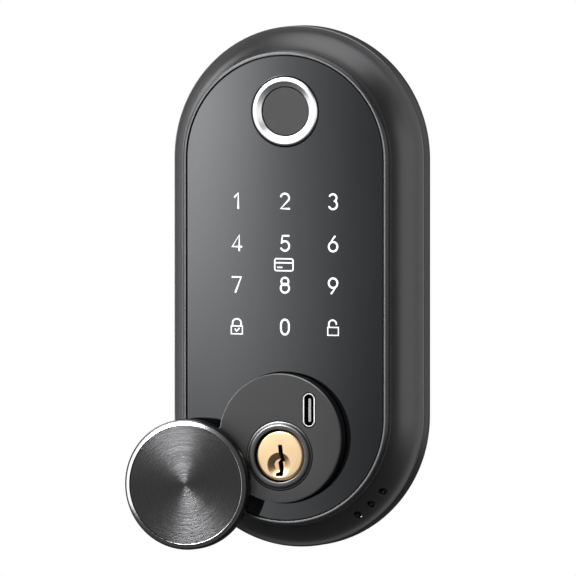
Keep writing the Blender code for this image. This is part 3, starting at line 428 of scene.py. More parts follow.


# %% [markdown]
# ## Sprayed metal
# The case is die cast and sprayed with a satin gunmetal coating. It has a very fine grain, broad patches that
# are a little duller, and a thin brighter line along the rim's edge, which is a painted highlight. The bezel,
# boss, collar and cover are sprayed too, so one function serves them all. It can also paint highlight bands
# along edges and painted shade on a side.

# %% Satin gunmetal coating
def coated_metal(name, slot, colour, roughness, metal, edge_highlight_colour=None, edge_heights=(), edge_width=0.1,
                 grain=0.000004, side=None):
    """Sprayed metal with fine grain, dull patches, painted highlight bands on edges and painted shade below a
    height.
    """
    finish = Finish(name, slot, Base_Color=colour, Roughness=roughness, Metallic=metal)
    patches = finish.noise(0.02, detail=3)
    speckle = finish.noise(0.00035, detail=2)
    tint = finish.mix(patches, tuple(c * 0.9 for c in colour), tuple(c * 1.1 for c in colour))
    finish.set("Roughness", roughness + (patches - 0.5) * 0.12 + (speckle - 0.5) * 0.08)
    # Painted highlight: bands at the given edge heights get a lighter, more metallic colour.
    if edge_highlight_colour:
        _, y, _ = finish.axes()
        mask = 0.0
        for height in edge_heights:
            mask = mask + finish.band(y, -height * MM, edge_width * MM)
        edge_highlight = (mask * (0.6 + finish.noise(0.004, detail=4) * 0.8)).clamp()
        tint = finish.mix(edge_highlight, tint, edge_highlight_colour)
        finish.set("Metallic", metal + edge_highlight * (1 - metal))
    # Painted shade: below this height the side takes a near-black colour.
    if side:
        height, side_shade_colour = side
        _, y, _ = finish.axes()
        below = ((y + height * MM) / (0.1 * MM)).clamp()
        tint = finish.mix(below, tint, side_shade_colour)
    finish.set("Base Color", tint)
    finish.bump(speckle, grain)
    finish.tint = tint
    return finish


# A painted highlight band along the rim's front edge.
CASE_COAT = coated_metal("satin_gunmetal", "housing_metal", (0.105, 0.105, 0.108), 0.42, 0.9,
                         (0.2, 0.2, 0.205), (5.45,), 0.12)
# A thin painted highlight band on the bezel's front land.
BEZEL_COAT = coated_metal("bezel_gunmetal", "bezel_metal", (0.02, 0.02, 0.021), 0.28, 0.2,
                          (0.17, 0.17, 0.173), (BEZEL_FRONT / MM,), 0.025)

# %% [markdown]
# ## The case
# The front shell rises from an upright rim through a hollow cove to the bezel. It is one profile swept around
# the stadium. The cove is a quarter of an ellipse, drawn with enough points to reflect cleanly. Three sound
# holes are cut through it, and the edges are rounded a little. The insides of the holes are coloured almost
# black, as painted shade.

# %% Sweep the case and drill the sound holes
RIM_FRONT = 5.6
RIM_EDGE = 0.5
COVE_INNER = 31.2
WALL = 2.0
COVE_ROOM = 2.8
LEDGE_OUTER = 29.5
LEDGE_INNER = 27.0
LEDGE_FRONT = 15.0
LEDGE_BACK = 13.0
HOLE_ANGLES = (-39.4, -48.0, -56.6)
HOLE_CIRCLE = 33.8 * MM
HOLE_RADIUS = 0.95
case_radius = BODY_RADIUS / MM
cove_top = COVE_TOP / MM
rim_back = RIM_BACK / MM


def cove(outer, low, inner, high, steps):
    """Quarter ellipse that starts flat at the rim and ends upright at the bezel."""
    return [
        (outer - (outer - inner) * sin(pi / 2 * i / steps), high - (high - low) * cos(pi / 2 * i / steps))
        for i in range(steps + 1)
    ]


rim = arc((case_radius - RIM_EDGE, RIM_FRONT - RIM_EDGE), RIM_EDGE, 0, 90, 5)
hollow_side = cove(case_radius - RIM_EDGE, RIM_FRONT, COVE_INNER, cove_top, 18)[1:]
ledge = [
    (LEDGE_OUTER, cove_top), (LEDGE_OUTER, LEDGE_FRONT),
    (LEDGE_INNER, LEDGE_FRONT), (LEDGE_INNER, LEDGE_BACK),
]
inside = cove(case_radius - WALL, RIM_FRONT - WALL, COVE_INNER - COVE_ROOM, LEDGE_BACK, 8)
inside.reverse()
case_profile = [(case_radius, rim_back), *rim, *hollow_side, *ledge, *inside, (case_radius - WALL, rim_back)]
case = swept("case_shell", case_profile)
hole_shade = 0.0
for number, angle in enumerate(HOLE_ANGLES, 1):
    x = HOLE_CIRCLE * cos(radians(angle))
    z = HOLE_CIRCLE * sin(radians(angle)) - ARC
    cut(case, rod(f"hole_{number}", HOLE_RADIUS, 0.0, 12.0, x, z, 32))
    from_hole = CASE_COAT.radius((x, 0, z))
    hole_shade = hole_shade + ((1.0 * MM - from_hole) / (0.04 * MM)).clamp()
# Painted shade: the sound holes are coloured almost black.
CASE_COAT.set("Base Color", CASE_COAT.mix(hole_shade, CASE_COAT.tint, UNLIT))
round_edges(case, 0.07 * MM, 2, 40)
smooth(case)
wear(case, CASE_COAT, "lock_body", ["housing"])

# %% [markdown]
# ## The screw posts
# The case has four posts inside that the back plate's screws bite into. They are plain cast posts with a
# draft, so a tapered rod with a pilot hole is enough, modelled once and copied.

# %% Screw posts inside the case
SCREW_X = 26.0 * MM
SCREW_Z = 28.0 * MM
SCREW_CORNERS = ((1, 1), (-1, 1), (-1, -1), (1, -1))


def copied(piece, name, offset):
    """Copy a piece with its own mesh and move its points."""
    twin = piece.copy()
    twin.data = piece.data.copy()
    twin.name = name
    twin.data.name = name
    twin.data.transform(Matrix.Translation(offset))
    link(twin)
    return twin


def at_each_corner(first, name):
    """Copy the piece at the first screw corner to the other three."""
    pieces = [first]
    for number, (side, up) in enumerate(SCREW_CORNERS[1:], 2):
        offset = ((side - 1) * SCREW_X, 0, (up - 1) * SCREW_Z)
        pieces.append(copied(first, f"{name}_{number}", offset))
    return pieces


cast_post_profile = [
    (3.0, 1.8), (1.55, 1.8), (1.55, 10.0), (0.0, 10.0), (0.0, 12.5), (2.6, 12.5), (2.7, 12.2), (3.0, 2.1),
]
first_post = turned("screw_post_1", cast_post_profile, SCREW_X, SCREW_Z, 40)
for post in at_each_corner(first_post, "screw_post"):
    smooth(post)
    wear(post, CASE_COAT, "lock_body")

# %% [markdown]
# ## The bezel
# A thin lip stands around the glass. Its front is a narrow flat land, and its outer side is rounded, which
# draws a bright line around the glass wherever light comes from.

# %% Sweep the bezel
bezel_outer = BEZEL_OUTER / MM
bezel_inner = BEZEL_INNER / MM
bezel_front = BEZEL_FRONT / MM
SHOULDER = 0.95
bezel_profile = [
    (bezel_inner, BEZEL_BACK / MM), (bezel_inner, bezel_front - 0.08),
    (bezel_inner + 0.03, bezel_front - 0.02), (bezel_inner + 0.1, bezel_front),
    *arc((bezel_outer - SHOULDER, bezel_front - SHOULDER), SHOULDER, 90, 0, 10),
    (bezel_outer, BEZEL_BACK / MM),
]
bezel = smooth(swept("bezel_lip", bezel_profile))
wear(bezel, BEZEL_COAT, "lock_body", ["glass_bezel"])

# %% [markdown]
# ## The touch glass
# The glass is one flat black plate with a ground edge and two round holes. A disc is pulled apart into the
# stadium, given its thickness and drilled, and its edges get a narrow chamfer. Its finish is almost a
# mirror, with faint wiped smudges that show in the roughness.

# %% Black glass
FINGER_HOLE = 10.15
BOSS_HOLE = 18.7
THROUGH_GLASS = (14.0, 19.0)
GLASS = Finish("black_touch_glass", "black_glass",
               Base_Color=(0.011, 0.0115, 0.014), Roughness=0.05, IOR=1.52)
smudge = GLASS.noise(0.018, detail=5, roughness=0.6, stretch=(1, 1, 0.5))
GLASS.set("Roughness", 0.035 + (smudge - 0.35).clamp() * 0.12)
GLASS.set("Base Color", GLASS.mix(smudge, (0.010, 0.0105, 0.013), (0.013, 0.0135, 0.016)))

glass_front = GLASS_FRONT / MM
glass = stretched_disc("touch_glass", GLASS_RADIUS / MM, ARC / MM, GLASS_BACK / MM, glass_front, 0, 0)
cut(glass, rod("finger_hole", FINGER_HOLE, *THROUGH_GLASS, FINGER.x, FINGER.z, 96))
cut(glass, rod("boss_hole", BOSS_HOLE, *THROUGH_GLASS, BOSS.x, BOSS.z, 128))
round_edges(glass, 0.12 * MM, 1, 50)
smooth(glass, 20)
wear(glass, GLASS, "lock_body", ["glass_panel"])

# %% [markdown]
# ## The printed keys
# The numbers and signs are white windows in the black print, lit from behind, so their finish glows a little.
# Each one is drawn with a round pen as lines through a few points, in mm from the middle of the key. The
# arcs keep the round numbers round, and the 9 is the 6 turned half a turn.

# %% White print
PRINT = Finish("white_key_print", "white_plastic", Base_Color=(0.86, 0.86, 0.87), Roughness=0.35)
PRINT.shader.inputs["Emission Color"].default_value = (1.0, 1.0, 1.0, 1.0)
PRINT.shader.inputs["Emission Strength"].default_value = 0.75
ink = PRINT.noise(0.0006, detail=2)
PRINT.set("Base Color", PRINT.mix(ink, (0.82, 0.82, 0.83), (0.9, 0.9, 0.91)))
PRINT.set("Roughness", 0.3 + ink * 0.15)
PRINT.bump(ink, 0.000002)

# %% Strokes of the numbers and signs
TOP = 2.14
STROKES = {
    "0": [arc((0, 0.5), (1.2, 1.64), 0, 180, 12) + arc((0, -0.5), (1.2, 1.64), 180, 360, 12) + [(1.2, 0.5)]],
    "1": [[(-0.62, 1.0), (0.42, TOP), (0.42, -TOP)]],
    "2": [arc((0, 0.9), (1.26, 1.24), 160, -28, 12) + [(-1.25, -TOP), (1.3, -TOP)]],
    "3": [arc((-0.05, 1.1), (1.1, 1.04), 150, -72, 12) + arc((-0.05, -0.9), (1.25, 1.24), 68, -152, 12)],
    "4": [[(0.72, -TOP), (0.72, TOP), (-1.4, -1.12), (1.42, -1.12)]],
    "5": [[(1.12, TOP), (-0.72, TOP), (-1.05, 0.12)] + arc((0, -0.76), (1.3, 1.38), 140, -150, 14)],
    "6": [[(0.5, TOP), (-1.13, -0.1)] + arc((0, -0.78), (1.3, 1.36), 150, 510, 22)],
    "7": [[(-1.3, TOP), (1.3, TOP), (-0.4, -TOP)]],
    "8": [arc((0, 1.08), (1.08, 1.06), 0, 360, 18), arc((0, -0.86), (1.27, 1.28), 0, 360, 20)],
    "closed_padlock": [
        [(-1.68, 0.1), (1.68, 0.1), (1.68, -2.15), (-1.68, -2.15), (-1.68, 0.1)],
        [(-1.28, 0.1)] + arc((0, 0.98), (1.28, 1.16), 180, 0, 12) + [(1.28, 0.1)],
        [(-0.5, -0.82), (-0.05, -1.4), (0.68, -0.6)],
    ],
    "open_padlock": [
        [(-1.6, 0.1), (1.6, 0.1), (1.6, -2.15), (-1.6, -2.15), (-1.6, 0.1)],
        [(-1.28, 0.1)] + arc((-0.15, 1.06), (1.13, 1.08), 180, 0, 12),
    ],
    "card": [
        arc((2.2, 1.15), 0.55, 0, 90, 4) + arc((-2.2, 1.15), 0.55, 90, 180, 4)
        + arc((-2.2, -1.15), 0.55, 180, 270, 4) + arc((2.2, -1.15), 0.55, 270, 360, 4) + [(2.75, 1.15)],
        [(-2.7, 0.55), (2.7, 0.55)],
        [(-1.85, -0.75), (-0.6, -0.75)],
    ],
}
STROKES["9"] = [[(-x, -y) for x, y in stroke] for stroke in STROKES["6"]]
print("signs:", *STROKES)

# %% [markdown]
# ## Drawing the keys
# Each stroke becomes a tube with round ends, made by thinning the tube over its last points. The strokes of
# one key are joined into one piece, pressed flat and laid on the glass.

# %% Draw the keys
PRESSED = 0.1
PRINT_RISE = 0.004 * MM


def pen_stroke(points, pen):
    """One stroke of the pen as a mesh: a tube along the points with round ends. Sizes in mm."""
    curve = bpy.data.curves.new("stroke", "CURVE")
    curve.dimensions = "3D"
    curve.bevel_depth = pen / 2 * MM
    curve.bevel_resolution = 2
    line = [Vector((x, y, 0)) for x, y in points]
    closed = (line[0] - line[-1]).length < 0.01
    path = [(place, 1.0) for place in (line[:-1] if closed else line)]
    if not closed:
        first = (line[0] - line[1]).normalized() * pen / 2
        last = (line[-1] - line[-2]).normalized() * pen / 2
        turns = [radians(a) for a in (30, 55, 75, 88)]
        path = [(line[0] + first * sin(a), cos(a)) for a in reversed(turns)] + path
        path += [(line[-1] + last * sin(a), cos(a)) for a in turns]
    spline = curve.splines.new("POLY")
    spline.points.add(len(path) - 1)
    for point, (place, width) in zip(spline.points, path):
        point.co = (*(place * MM), 1.0)
        point.radius = width
    spline.use_cyclic_u = closed
    stroke = bpy.data.objects.new("stroke", curve)
    link(stroke)
    select_only(stroke)
    bpy.ops.object.convert(target="MESH")
    return stroke


def printed_key(name, shape, x, z, pen):
    """Draw all strokes of one key, join them, press them flat and put them on the glass."""
    strokes = [pen_stroke(stroke, pen) for stroke in STROKES[shape]]
    select_only(strokes[0])
    for stroke in strokes[1:]:
        stroke.select_set(True)
    if len(strokes) > 1:
        bpy.ops.object.join()
    piece = bpy.context.object
    piece.name = name
    piece.data.name = name
    start_edit(piece)
    bpy.ops.transform.resize(value=(1, 1, PRESSED))
    merge_and_face_out()
    end_edit()
    upright = Matrix.Rotation(pi / 2, 4, "X")
    piece.data.transform(Matrix.Translation((x, -GLASS_FRONT - PRINT_RISE, z)) @ upright)
    smooth(piece, 60)
    wear(piece, PRINT, "lock_body")


KEY_COLUMN = 14.5 * MM
KEY_ROWS = [24.7 * MM, 12.7 * MM, 0.8 * MM, -11.1 * MM]
LABELS = [["1", "2", "3"], ["4", "5", "6"], ["7", "8", "9"], ["closed_padlock", "0", "open_padlock"]]
NUMBER_PEN = 0.55
PADLOCK_PEN = 0.46
CARD_PEN = 0.4
CARD_X = -0.3 * MM
CARD_Z = 6.6 * MM
for height, labels in zip(KEY_ROWS, LABELS):
    for column, label in enumerate(labels, -1):
        pen = PADLOCK_PEN if "padlock" in label else NUMBER_PEN
        printed_key(f"key_{label}", label, column * KEY_COLUMN, height, pen)
printed_key("card_sign", "card", CARD_X, CARD_Z, CARD_PEN)

# %% [markdown]
# ## The fingerprint reader
# A polished steel ring slopes down to a matt sensing disc. Both are turned. The ring is polished on a wheel,
# so its roughness varies a little around it, and the disc has a fine matt coating.

# %% Ring and sensing disc
STEEL = Finish("polished_ring_steel", "polished_steel",
               Base_Color=(0.93, 0.93, 0.94), Metallic=1.0, Roughness=0.16)
polish = STEEL.noise(0.003, detail=4)
STEEL.set("Roughness", 0.24 + polish * 0.14)
STEEL.set("Base Color", STEEL.mix(polish, (0.9, 0.9, 0.91), (0.97, 0.97, 0.98)))
STEEL.bump(STEEL.noise(0.0002, detail=1), 0.0000006)

SENSOR = Finish("matt_sensor_coat", "sensor_coating", Base_Color=(0.105, 0.105, 0.106), Roughness=0.55)
dust = SENSOR.noise(0.0002, detail=2)
SENSOR.set("Base Color", SENSOR.mix(dust, (0.088, 0.088, 0.09), (0.112, 0.112, 0.115)))
SENSOR.set("Roughness", 0.48 + dust * 0.18)
SENSOR.bump(dust, 0.000005)



def above(base, profile):
    """Lift a profile whose heights are given from this height."""
    return [(radius, base + rise) for radius, rise in profile]


ring_profile = above(glass_front, [
    (8.65, 0.45), (9.2, 0.45), (9.45, 0.39), (9.65, 0.26), (9.79, 0.08), (9.85, -0.15), (9.85, -2.0),
    (7.15, -2.0), (7.15, -0.3), (7.2, -0.22), (8.5, 0.4), (8.57, 0.44),
])
ring = smooth(turned("finger_ring", ring_profile, FINGER.x, FINGER.z, 128))
wear(ring, STEEL, "lock_body", ["fingerprint_ring"])
sensor_profile = above(glass_front, [
    (0.0, -0.25), (6.4, -0.25), (6.6, -0.27), (6.73, -0.33), (6.8, -0.45), (6.8, -2.6), (0.0, -2.6),
])
sensor = smooth(turned("finger_pad", sensor_profile, FINGER.x, FINGER.z, 96), 40)
wear(sensor, SENSOR, "lock_body", ["fingerprint_sensor"])

# %% [markdown]
# ## The key boss
# The round boss carries the key plug, the power port and the cover's pin. It is turned with a narrow chamfer,
# whose bright line is a painted highlight, then the three openings are cut through it. Its face has a fine matt
# texture, and its side carries painted shade, almost black.

# %% Matt boss
BOSS_RADIUS = 18.4
FLANGE_RADIUS = 19.8
FLANGE_FRONT = 15.0
COLLAR_OPENING = 10.0
BUSH_OPENING = 2.9
PORT_WIDTH = 3.7
PORT_HEIGHT = 9.7
PORT_GAP = 0.25
boss_front = BOSS_FRONT / MM
boss_back = BOSS_BACK / MM
# A painted highlight band on the boss's chamfer, and painted shade on its side below it.
BOSS_COAT = coated_metal("matt_boss_coat", "boss_coating", (0.15, 0.15, 0.152), 0.5, 0.15,
                         (0.45, 0.45, 0.455), (boss_front - 0.2,), 0.2, grain=0.000007,
                         side=(boss_front - 0.45, (0.012, 0.012, 0.013)))
boss_profile = [
    (0.0, boss_front), (BOSS_RADIUS - 0.42, boss_front), (BOSS_RADIUS - 0.34, boss_front - 0.02),
    (BOSS_RADIUS - 0.06, boss_front - 0.3), (BOSS_RADIUS, boss_front - 0.42), (BOSS_RADIUS, FLANGE_FRONT),
    (FLANGE_RADIUS, FLANGE_FRONT), (FLANGE_RADIUS, boss_back), (0.0, boss_back),
]
through_boss = (boss_back - 1, boss_front + 1)
half_slot = (PORT_HEIGHT - PORT_WIDTH) / 2
boss = turned("boss_cap", boss_profile, BOSS.x, BOSS.z, 160)
cut(boss, rod("collar_opening", COLLAR_OPENING, *through_boss, KEY.x, KEY.z, 96))
cut(boss, rod("bush_opening", BUSH_OPENING, *through_boss, PIVOT.x, PIVOT.z, 48))
port_radius = PORT_WIDTH / 2
opening_radius = port_radius + PORT_GAP
cut(boss, stretched_disc("port_opening", opening_radius, half_slot, *through_boss, PORT.x, PORT.z, 66))
round_edges(boss, 0.06 * MM, 1, 60)
smooth(boss, 30)
wear(boss, BOSS_COAT, "lock_body", ["key_boss"])

# %% [markdown]
# ## The collar
# A black collar stands a little proud around the plug. Its flat land ends in a crisp turned edge and a
# sloping side, whose top and foot carry two bright arcs painted in as highlights.

# %% Turn the collar
COLLAR_BORE = 7.6
COLLAR_RADIUS = 9.75
collar_front = COLLAR_FRONT / MM
# Two painted highlight bands: the collar's top edge and its foot.
COLLAR_COAT = coated_metal("satin_black_collar", "collar_metal", (0.03, 0.03, 0.031), 0.3, 0.5,
                           (0.4, 0.4, 0.405), (collar_front - 0.06, boss_front + 0.04), 0.1, grain=0.000002)
collar_profile = [
    *above(collar_front, [(7.78, 0.0), (8.55, 0.0), (8.66, -0.02), (8.76, -0.1)]),
    *above(boss_front, [(9.5, 0.1), (9.64, 0.04), (COLLAR_RADIUS, -0.06)]),
    (COLLAR_RADIUS, boss_back), (COLLAR_BORE, boss_back),
    *above(collar_front, [(COLLAR_BORE, -0.18), (7.64, -0.07), (7.7, -0.02)]),
]
collar = smooth(turned("plug_collar", collar_profile, KEY.x, KEY.z, 128), 35)
wear(collar, COLLAR_COAT, "lock_body", ["key_collar"])

# %% [markdown]
# ## The brass key plug
# The plug is turned brass with a rounded rim, a shallow dish and a broached keyway. Turned brass shows fine
# rings, which are drawn as a ripple over the distance from the plug's axis, and its colour darkens with depth
# as painted shade.

# %% Turn the plug, cut the dish and the keyway
PLUG_RADIUS = 6.35
PLUG_HEAD_RADIUS = 7.2
GROOVE_RADIUS = 5.35
PLUG_BACK = -9.0
DISH_DEPTH = 0.9
KEYWAY_BACK = -5.0
BRASS = Finish("turned_plug_brass", "brass", Base_Color=(0.9, 0.68, 0.4), Metallic=1.0, Roughness=0.3)
from_axis = BRASS.radius((KEY.x, 0, KEY.z))
rings = BRASS.node("ShaderNodeTexNoise", {"noise_dimensions": "1D"},
                   {"W": from_axis, "Scale": 9000, "Detail": 2})
tarnish = BRASS.noise(0.004, detail=4)
_, along, _ = BRASS.axes()
# Painted shade: the brass turns dark brown with depth into the keyway.
depth = ((along + PLUG_FRONT - 0.1 * MM) / (2.6 * MM)).clamp()
unshaded_brass = BRASS.mix(tarnish, (0.9, 0.62, 0.34), (0.97, 0.73, 0.46))
BRASS.set("Base Color", BRASS.mix(depth, unshaded_brass, (0.55, 0.3, 0.11)))
BRASS.set("Roughness", 0.26 + tarnish * 0.1 + rings * 0.06)
BRASS.bump(rings, 0.0000025)

plug_front = PLUG_FRONT / MM
plug_profile = [
    *above(plug_front, [(0.0, 0.0), (6.4, 0.0), (6.6, -0.02), (6.8, -0.09), (7.0, -0.22), (7.15, -0.42)]),
    *above(plug_front, [(PLUG_HEAD_RADIUS, -0.62), (PLUG_HEAD_RADIUS, -2.5), (PLUG_RADIUS, -2.5)]),
    (PLUG_RADIUS, -7.4), (GROOVE_RADIUS, -7.4), (GROOVE_RADIUS, -8.2), (PLUG_RADIUS, -8.2),
    (PLUG_RADIUS, PLUG_BACK), (0.0, PLUG_BACK),
]
plug = turned("brass_plug", plug_profile, KEY.x, KEY.z, 96)
dish_profile = above(plug_front, [(0.0, 0.5), (4.0, 0.5), (3.5, 0.0), (1.6, -DISH_DEPTH), (0.0, -DISH_DEPTH)])
cut(plug, turned("dish", dish_profile, KEY.x - 0.3 * MM, KEY.z - 2.6 * MM, 64))


def rectangle(width, height):
    """Corners of a rectangle around the middle."""
    across = width / 2
    up = height / 2
    return [(-across, -up), (across, -up), (across, up), (-across, up)]


def flat_block(name, outline, low, high, x, z):
    """Extrude an outline in mm, drawn as seen from the front, between two heights."""
    places = [Vector((x + px * MM, -low * MM, z + pz * MM)) for px, pz in outline]
    piece = draw_profile(name, places)
    bpy.ops.mesh.select_all(action="SELECT")
    bpy.ops.mesh.edge_face_add()
    bpy.ops.mesh.extrude_region_move(TRANSFORM_OT_translate={"value": (0, -(high - low) * MM, 0)})
    merge_and_face_out()
    end_edit()
    return piece


KEYWAY = [
    (0.62, 3.1), (1.18, -1.35), (0.6, -1.75), (0.95, -4.6), (0.85, -5.9), (-1.35, -5.9), (-1.3, -5.0),
    (-0.35, -4.55), (-0.8, -1.9), (0.05, -0.85), (-0.35, 0.2), (-0.62, 3.1),
]
cut(plug, flat_block("keyway", KEYWAY, KEYWAY_BACK, plug_front + 1, KEY.x, KEY.z))
cut(plug, flat_block("tail_slot", rectangle(7.0, 3.0), -11.0, -7.0, KEY.x, KEY.z))
round_edges(plug, 0.05 * MM, 1, 50)
smooth(plug, 20)
wear(plug, BRASS, "plug", ["key_plug"])

# %% [markdown]
# ## The power port
# The port is a bright steel shell with a rolled front edge, made as a stretched disc with its middle cut away
# and its edges rounded. A pale tongue with plated contacts stands inside it. Little light gets in, so
# all three finishes fall to almost black with depth.

# %% Port shell
def dark_inside(finish, colour, low, high, top):
    """Let a colour fall to almost black from this depth to that one below a height, all in mm."""
    _, across_door, _ = finish.axes()
    below = ((across_door + (top - low) * MM) / ((high - low) * MM)).clamp()
    finish.set("Base Color", finish.mix(below, colour, UNLIT))


PORT_WALL = 0.45
PORT_PROUD = 0.1
port_front = boss_front + PORT_PROUD
PORT_STEEL = Finish("port_shell_steel", "polished_steel", Metallic=1.0, Roughness=0.25)
rolled = PORT_STEEL.noise(0.001, detail=3)
PORT_STEEL.set("Roughness", 0.2 + rolled * 0.14)
bright_steel = PORT_STEEL.mix(rolled, (0.88, 0.88, 0.89), (0.97, 0.97, 0.98))
dark_inside(PORT_STEEL, bright_steel, 0.15, 0.8, port_front)
port_rim = stretched_disc("port_rim", port_radius, half_slot, 13.3, port_front, PORT.x, PORT.z, 66)
inner_radius = port_radius - PORT_WALL
hollow = stretched_disc("port_hollow", inner_radius, half_slot, 12.0, port_front + 1, PORT.x, PORT.z, 66)
cut(port_rim, hollow)
round_edges(port_rim, 0.16 * MM, 3, 50)
smooth(port_rim, 40)
wear(port_rim, PORT_STEEL, "lock_body", ["usb_shell"])

# %% Tongue and contacts
CONTACTS = 12
CONTACT_PITCH = 0.5 * MM
CONTACT_SIZE = (0.06 * MM, 4.2 * MM, 0.26 * MM)
CONTACT_SIDE = 0.38 * MM
CONTACT_DEPTH = 3.3 * MM
TONGUE = Finish("port_tongue_plastic", "contact_plastic", Base_Color=(0.62, 0.62, 0.62), Roughness=0.5)
mould = TONGUE.noise(0.0004, detail=2)
dark_inside(TONGUE, TONGUE.mix(mould, (0.6, 0.6, 0.6), (0.72, 0.72, 0.72)), 0.75, 1.3, boss_front)
TONGUE.bump(mould, 0.000003)
repaint(TONGUE, "usb_tongue")

GOLD = Finish("gold_plating", "contact_plastic", Base_Color=(0.95, 0.72, 0.38), Metallic=1.0, Roughness=0.28)
plating = GOLD.noise(0.0003, detail=2)
GOLD.set("Roughness", 0.22 + plating * 0.15)
dark_inside(GOLD, GOLD.mix(plating, (0.9, 0.66, 0.32), (1.0, 0.78, 0.45)), 1.2, 2.4, boss_front)
for side in (-1, 1):
    deselect()
    lowest = PORT.z - CONTACT_PITCH * (CONTACTS - 1) / 2
    place = (PORT.x + side * CONTACT_SIDE, CONTACT_DEPTH - BOSS_FRONT, lowest)
    bpy.ops.mesh.primitive_cube_add(size=1, location=place, scale=CONTACT_SIZE)
    contacts = bpy.context.object
    contacts.name = f"port_contacts_{'left' if side < 0 else 'right'}"
    bpy.ops.object.transform_apply()
    round_edges(contacts, 0.02 * MM, 1)
    bpy.ops.object.modifier_add(type="ARRAY")
    array = contacts.modifiers[-1]
    array.count = CONTACTS
    array.use_relative_offset = False
    array.use_constant_offset = True
    array.constant_offset_displace = (0, 0, CONTACT_PITCH)
    bpy.ops.object.modifier_apply(modifier=array.name)
    smooth(contacts)
    wear(contacts, GOLD, "lock_body")

# %% [markdown]
# ## The swinging cover
# The cover is a black cup around a spun metal insert. Its front edge is bevelled and polished to bare metal,
# whose near-white colour is also a painted highlight; it draws a white line around the insert wherever a soft
# box stands.

# %% Polished cup
SEAT_RADIUS = 16.9
CUP_WALL = 1.1
cup_front = COVER_FRONT / MM
cup_back = COVER_BACK / MM
cup_radius = COVER_RADIUS / MM
CUP = coated_metal("glossy_black_cup", "cover_metal", (0.05, 0.05, 0.054), 0.16, 0.8, grain=0.000001)
_, cup_y, _ = CUP.axes()
# The bevel band: bare metal coloured near white, partly a painted highlight.
bare_bevel_highlight = ((0 - cup_y - (cup_front - 0.52) * MM) / (0.06 * MM)).clamp()
swirl = CUP.noise(0.004, detail=4)
CUP.set("Base Color", CUP.mix(bare_bevel_highlight, (0.045, 0.045, 0.048), (0.8, 0.8, 0.81)))
CUP.set("Roughness", 0.15 + swirl * 0.1)
CUP.set("Metallic", 0.8 + bare_bevel_highlight * 0.2)

cup_bevel = [(cup_radius - 0.65, -0.4), (cup_radius - 0.52, -0.48), (cup_radius - 0.42, -0.58)]
cup_edge = [(cup_radius - 0.2, -0.63), (cup_radius - 0.08, -0.72), (cup_radius, -0.92)]
cup_foot = [(cup_radius, 0.25), (cup_radius - 0.03, 0.1), (cup_radius - 0.12, 0.02), (cup_radius - 0.2, 0.0)]
cup_profile = [
    *above(cup_front, [(0.0, -0.9), (SEAT_RADIUS, -0.9), (SEAT_RADIUS, -0.1), (16.94, -0.02), (17.0, 0.0)]),
    *above(cup_front, [(17.08, -0.02), *cup_bevel, *cup_edge]),
    *above(cup_back, [*cup_foot, (cup_radius - 1.0, 0.0), (cup_radius - CUP_WALL, 0.1)]),
    (cup_radius - CUP_WALL, cup_front - 2.0), (0.0, cup_front - 2.0),
]
cup = turned("cover_cup", cup_profile, COVER.x, COVER.z, 160)
cut(cup, rod("pin_hole", 1.4, cup_back, cup_front, PIVOT.x, PIVOT.z, 40))
smooth(cup, 32)
wear(cup, CUP, "cover", ["cover_shell"])

# %% [markdown]
# ## The spun insert
# Spinning leaves hair-fine circular grooves, so the insert mirrors light in two opposite fans. That is made
# here by tipping the surface normal towards and away from the middle, by a random amount for each radius.

# %% Spun insert
INSERT_RADIUS = 16.7
INSERT_SUNK = 0.05
SPUN = Finish("spun_dark_metal", "spun_metal", Base_Color=(0.2, 0.2, 0.205), Metallic=1.0, Roughness=0.15)
spin_x, _, spin_z = SPUN.axes((COVER.x, 0, COVER.z))
spin_r = (spin_x * spin_x + spin_z * spin_z) ** 0.5


def groove(scale, detail=1.0):
    """Random value from -0.5 to 0.5 that depends only on the distance from the middle."""
    settings = {"noise_dimensions": "1D"}
    made = SPUN.node("ShaderNodeTexNoise", settings, {"W": spin_r, "Scale": scale, "Detail": detail})
    return made - 0.5


tilt = (groove(90000) * 1.6 + groove(9000) * 0.05) / (spin_r + 0.0002)
leaning = SPUN.node("ShaderNodeCombineXYZ", inputs={0: spin_x * tilt, 1: -1.0, 2: spin_z * tilt})
to_world = {"vector_type": "NORMAL", "convert_from": "OBJECT", "convert_to": "WORLD"}
outwards = SPUN.node("ShaderNodeVectorTransform", to_world, {0: leaning})
SPUN.set("Normal", SPUN.node("ShaderNodeVectorMath", {"operation": "NORMALIZE"}, {0: outwards}))
ringed = (groove(6000, 2.0) + 0.5).clamp()
SPUN.set("Base Color", SPUN.mix(ringed, (0.19, 0.19, 0.195), (0.29, 0.29, 0.295)))
SPUN.set("Roughness", 0.24 + (groove(9000) + 0.5) * 0.08)

insert_profile = [
    *above(cup_front - INSERT_SUNK, [(0.0, 0.0), (16.5, 0.0), (16.62, -0.02), (INSERT_RADIUS, -0.1)]),
    (INSERT_RADIUS, cup_front - 0.6), (0.0, cup_front - 0.6),
]
insert = smooth(turned("spun_insert", insert_profile, COVER.x, COVER.z, 128), 50)
wear(insert, SPUN, "cover", ["cover_face"])

# %% [markdown]
# ## The parts that keep their shape
# The boards, magnets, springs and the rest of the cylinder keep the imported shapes. Each gets a finish of what
# it is made of, with its own grain.

# %% Finishes of the inner and back parts
def grained(name, slot, first, second, size, metallic, roughness, vary=0.2, depth=0.000003,
            stretch=(1, 1, 1)):
    """Material whose colour, roughness and surface follow one noise."""
    finish = Finish(name, slot, Base_Color=first, Metallic=metallic, Roughness=roughness)
    grain = finish.noise(size, detail=3.0, stretch=stretch)
    finish.set("Base Color", finish.mix(grain, first, second))
    finish.set("Roughness", (roughness - vary / 2) + grain * vary)
    finish.bump(grain, depth)
    return finish


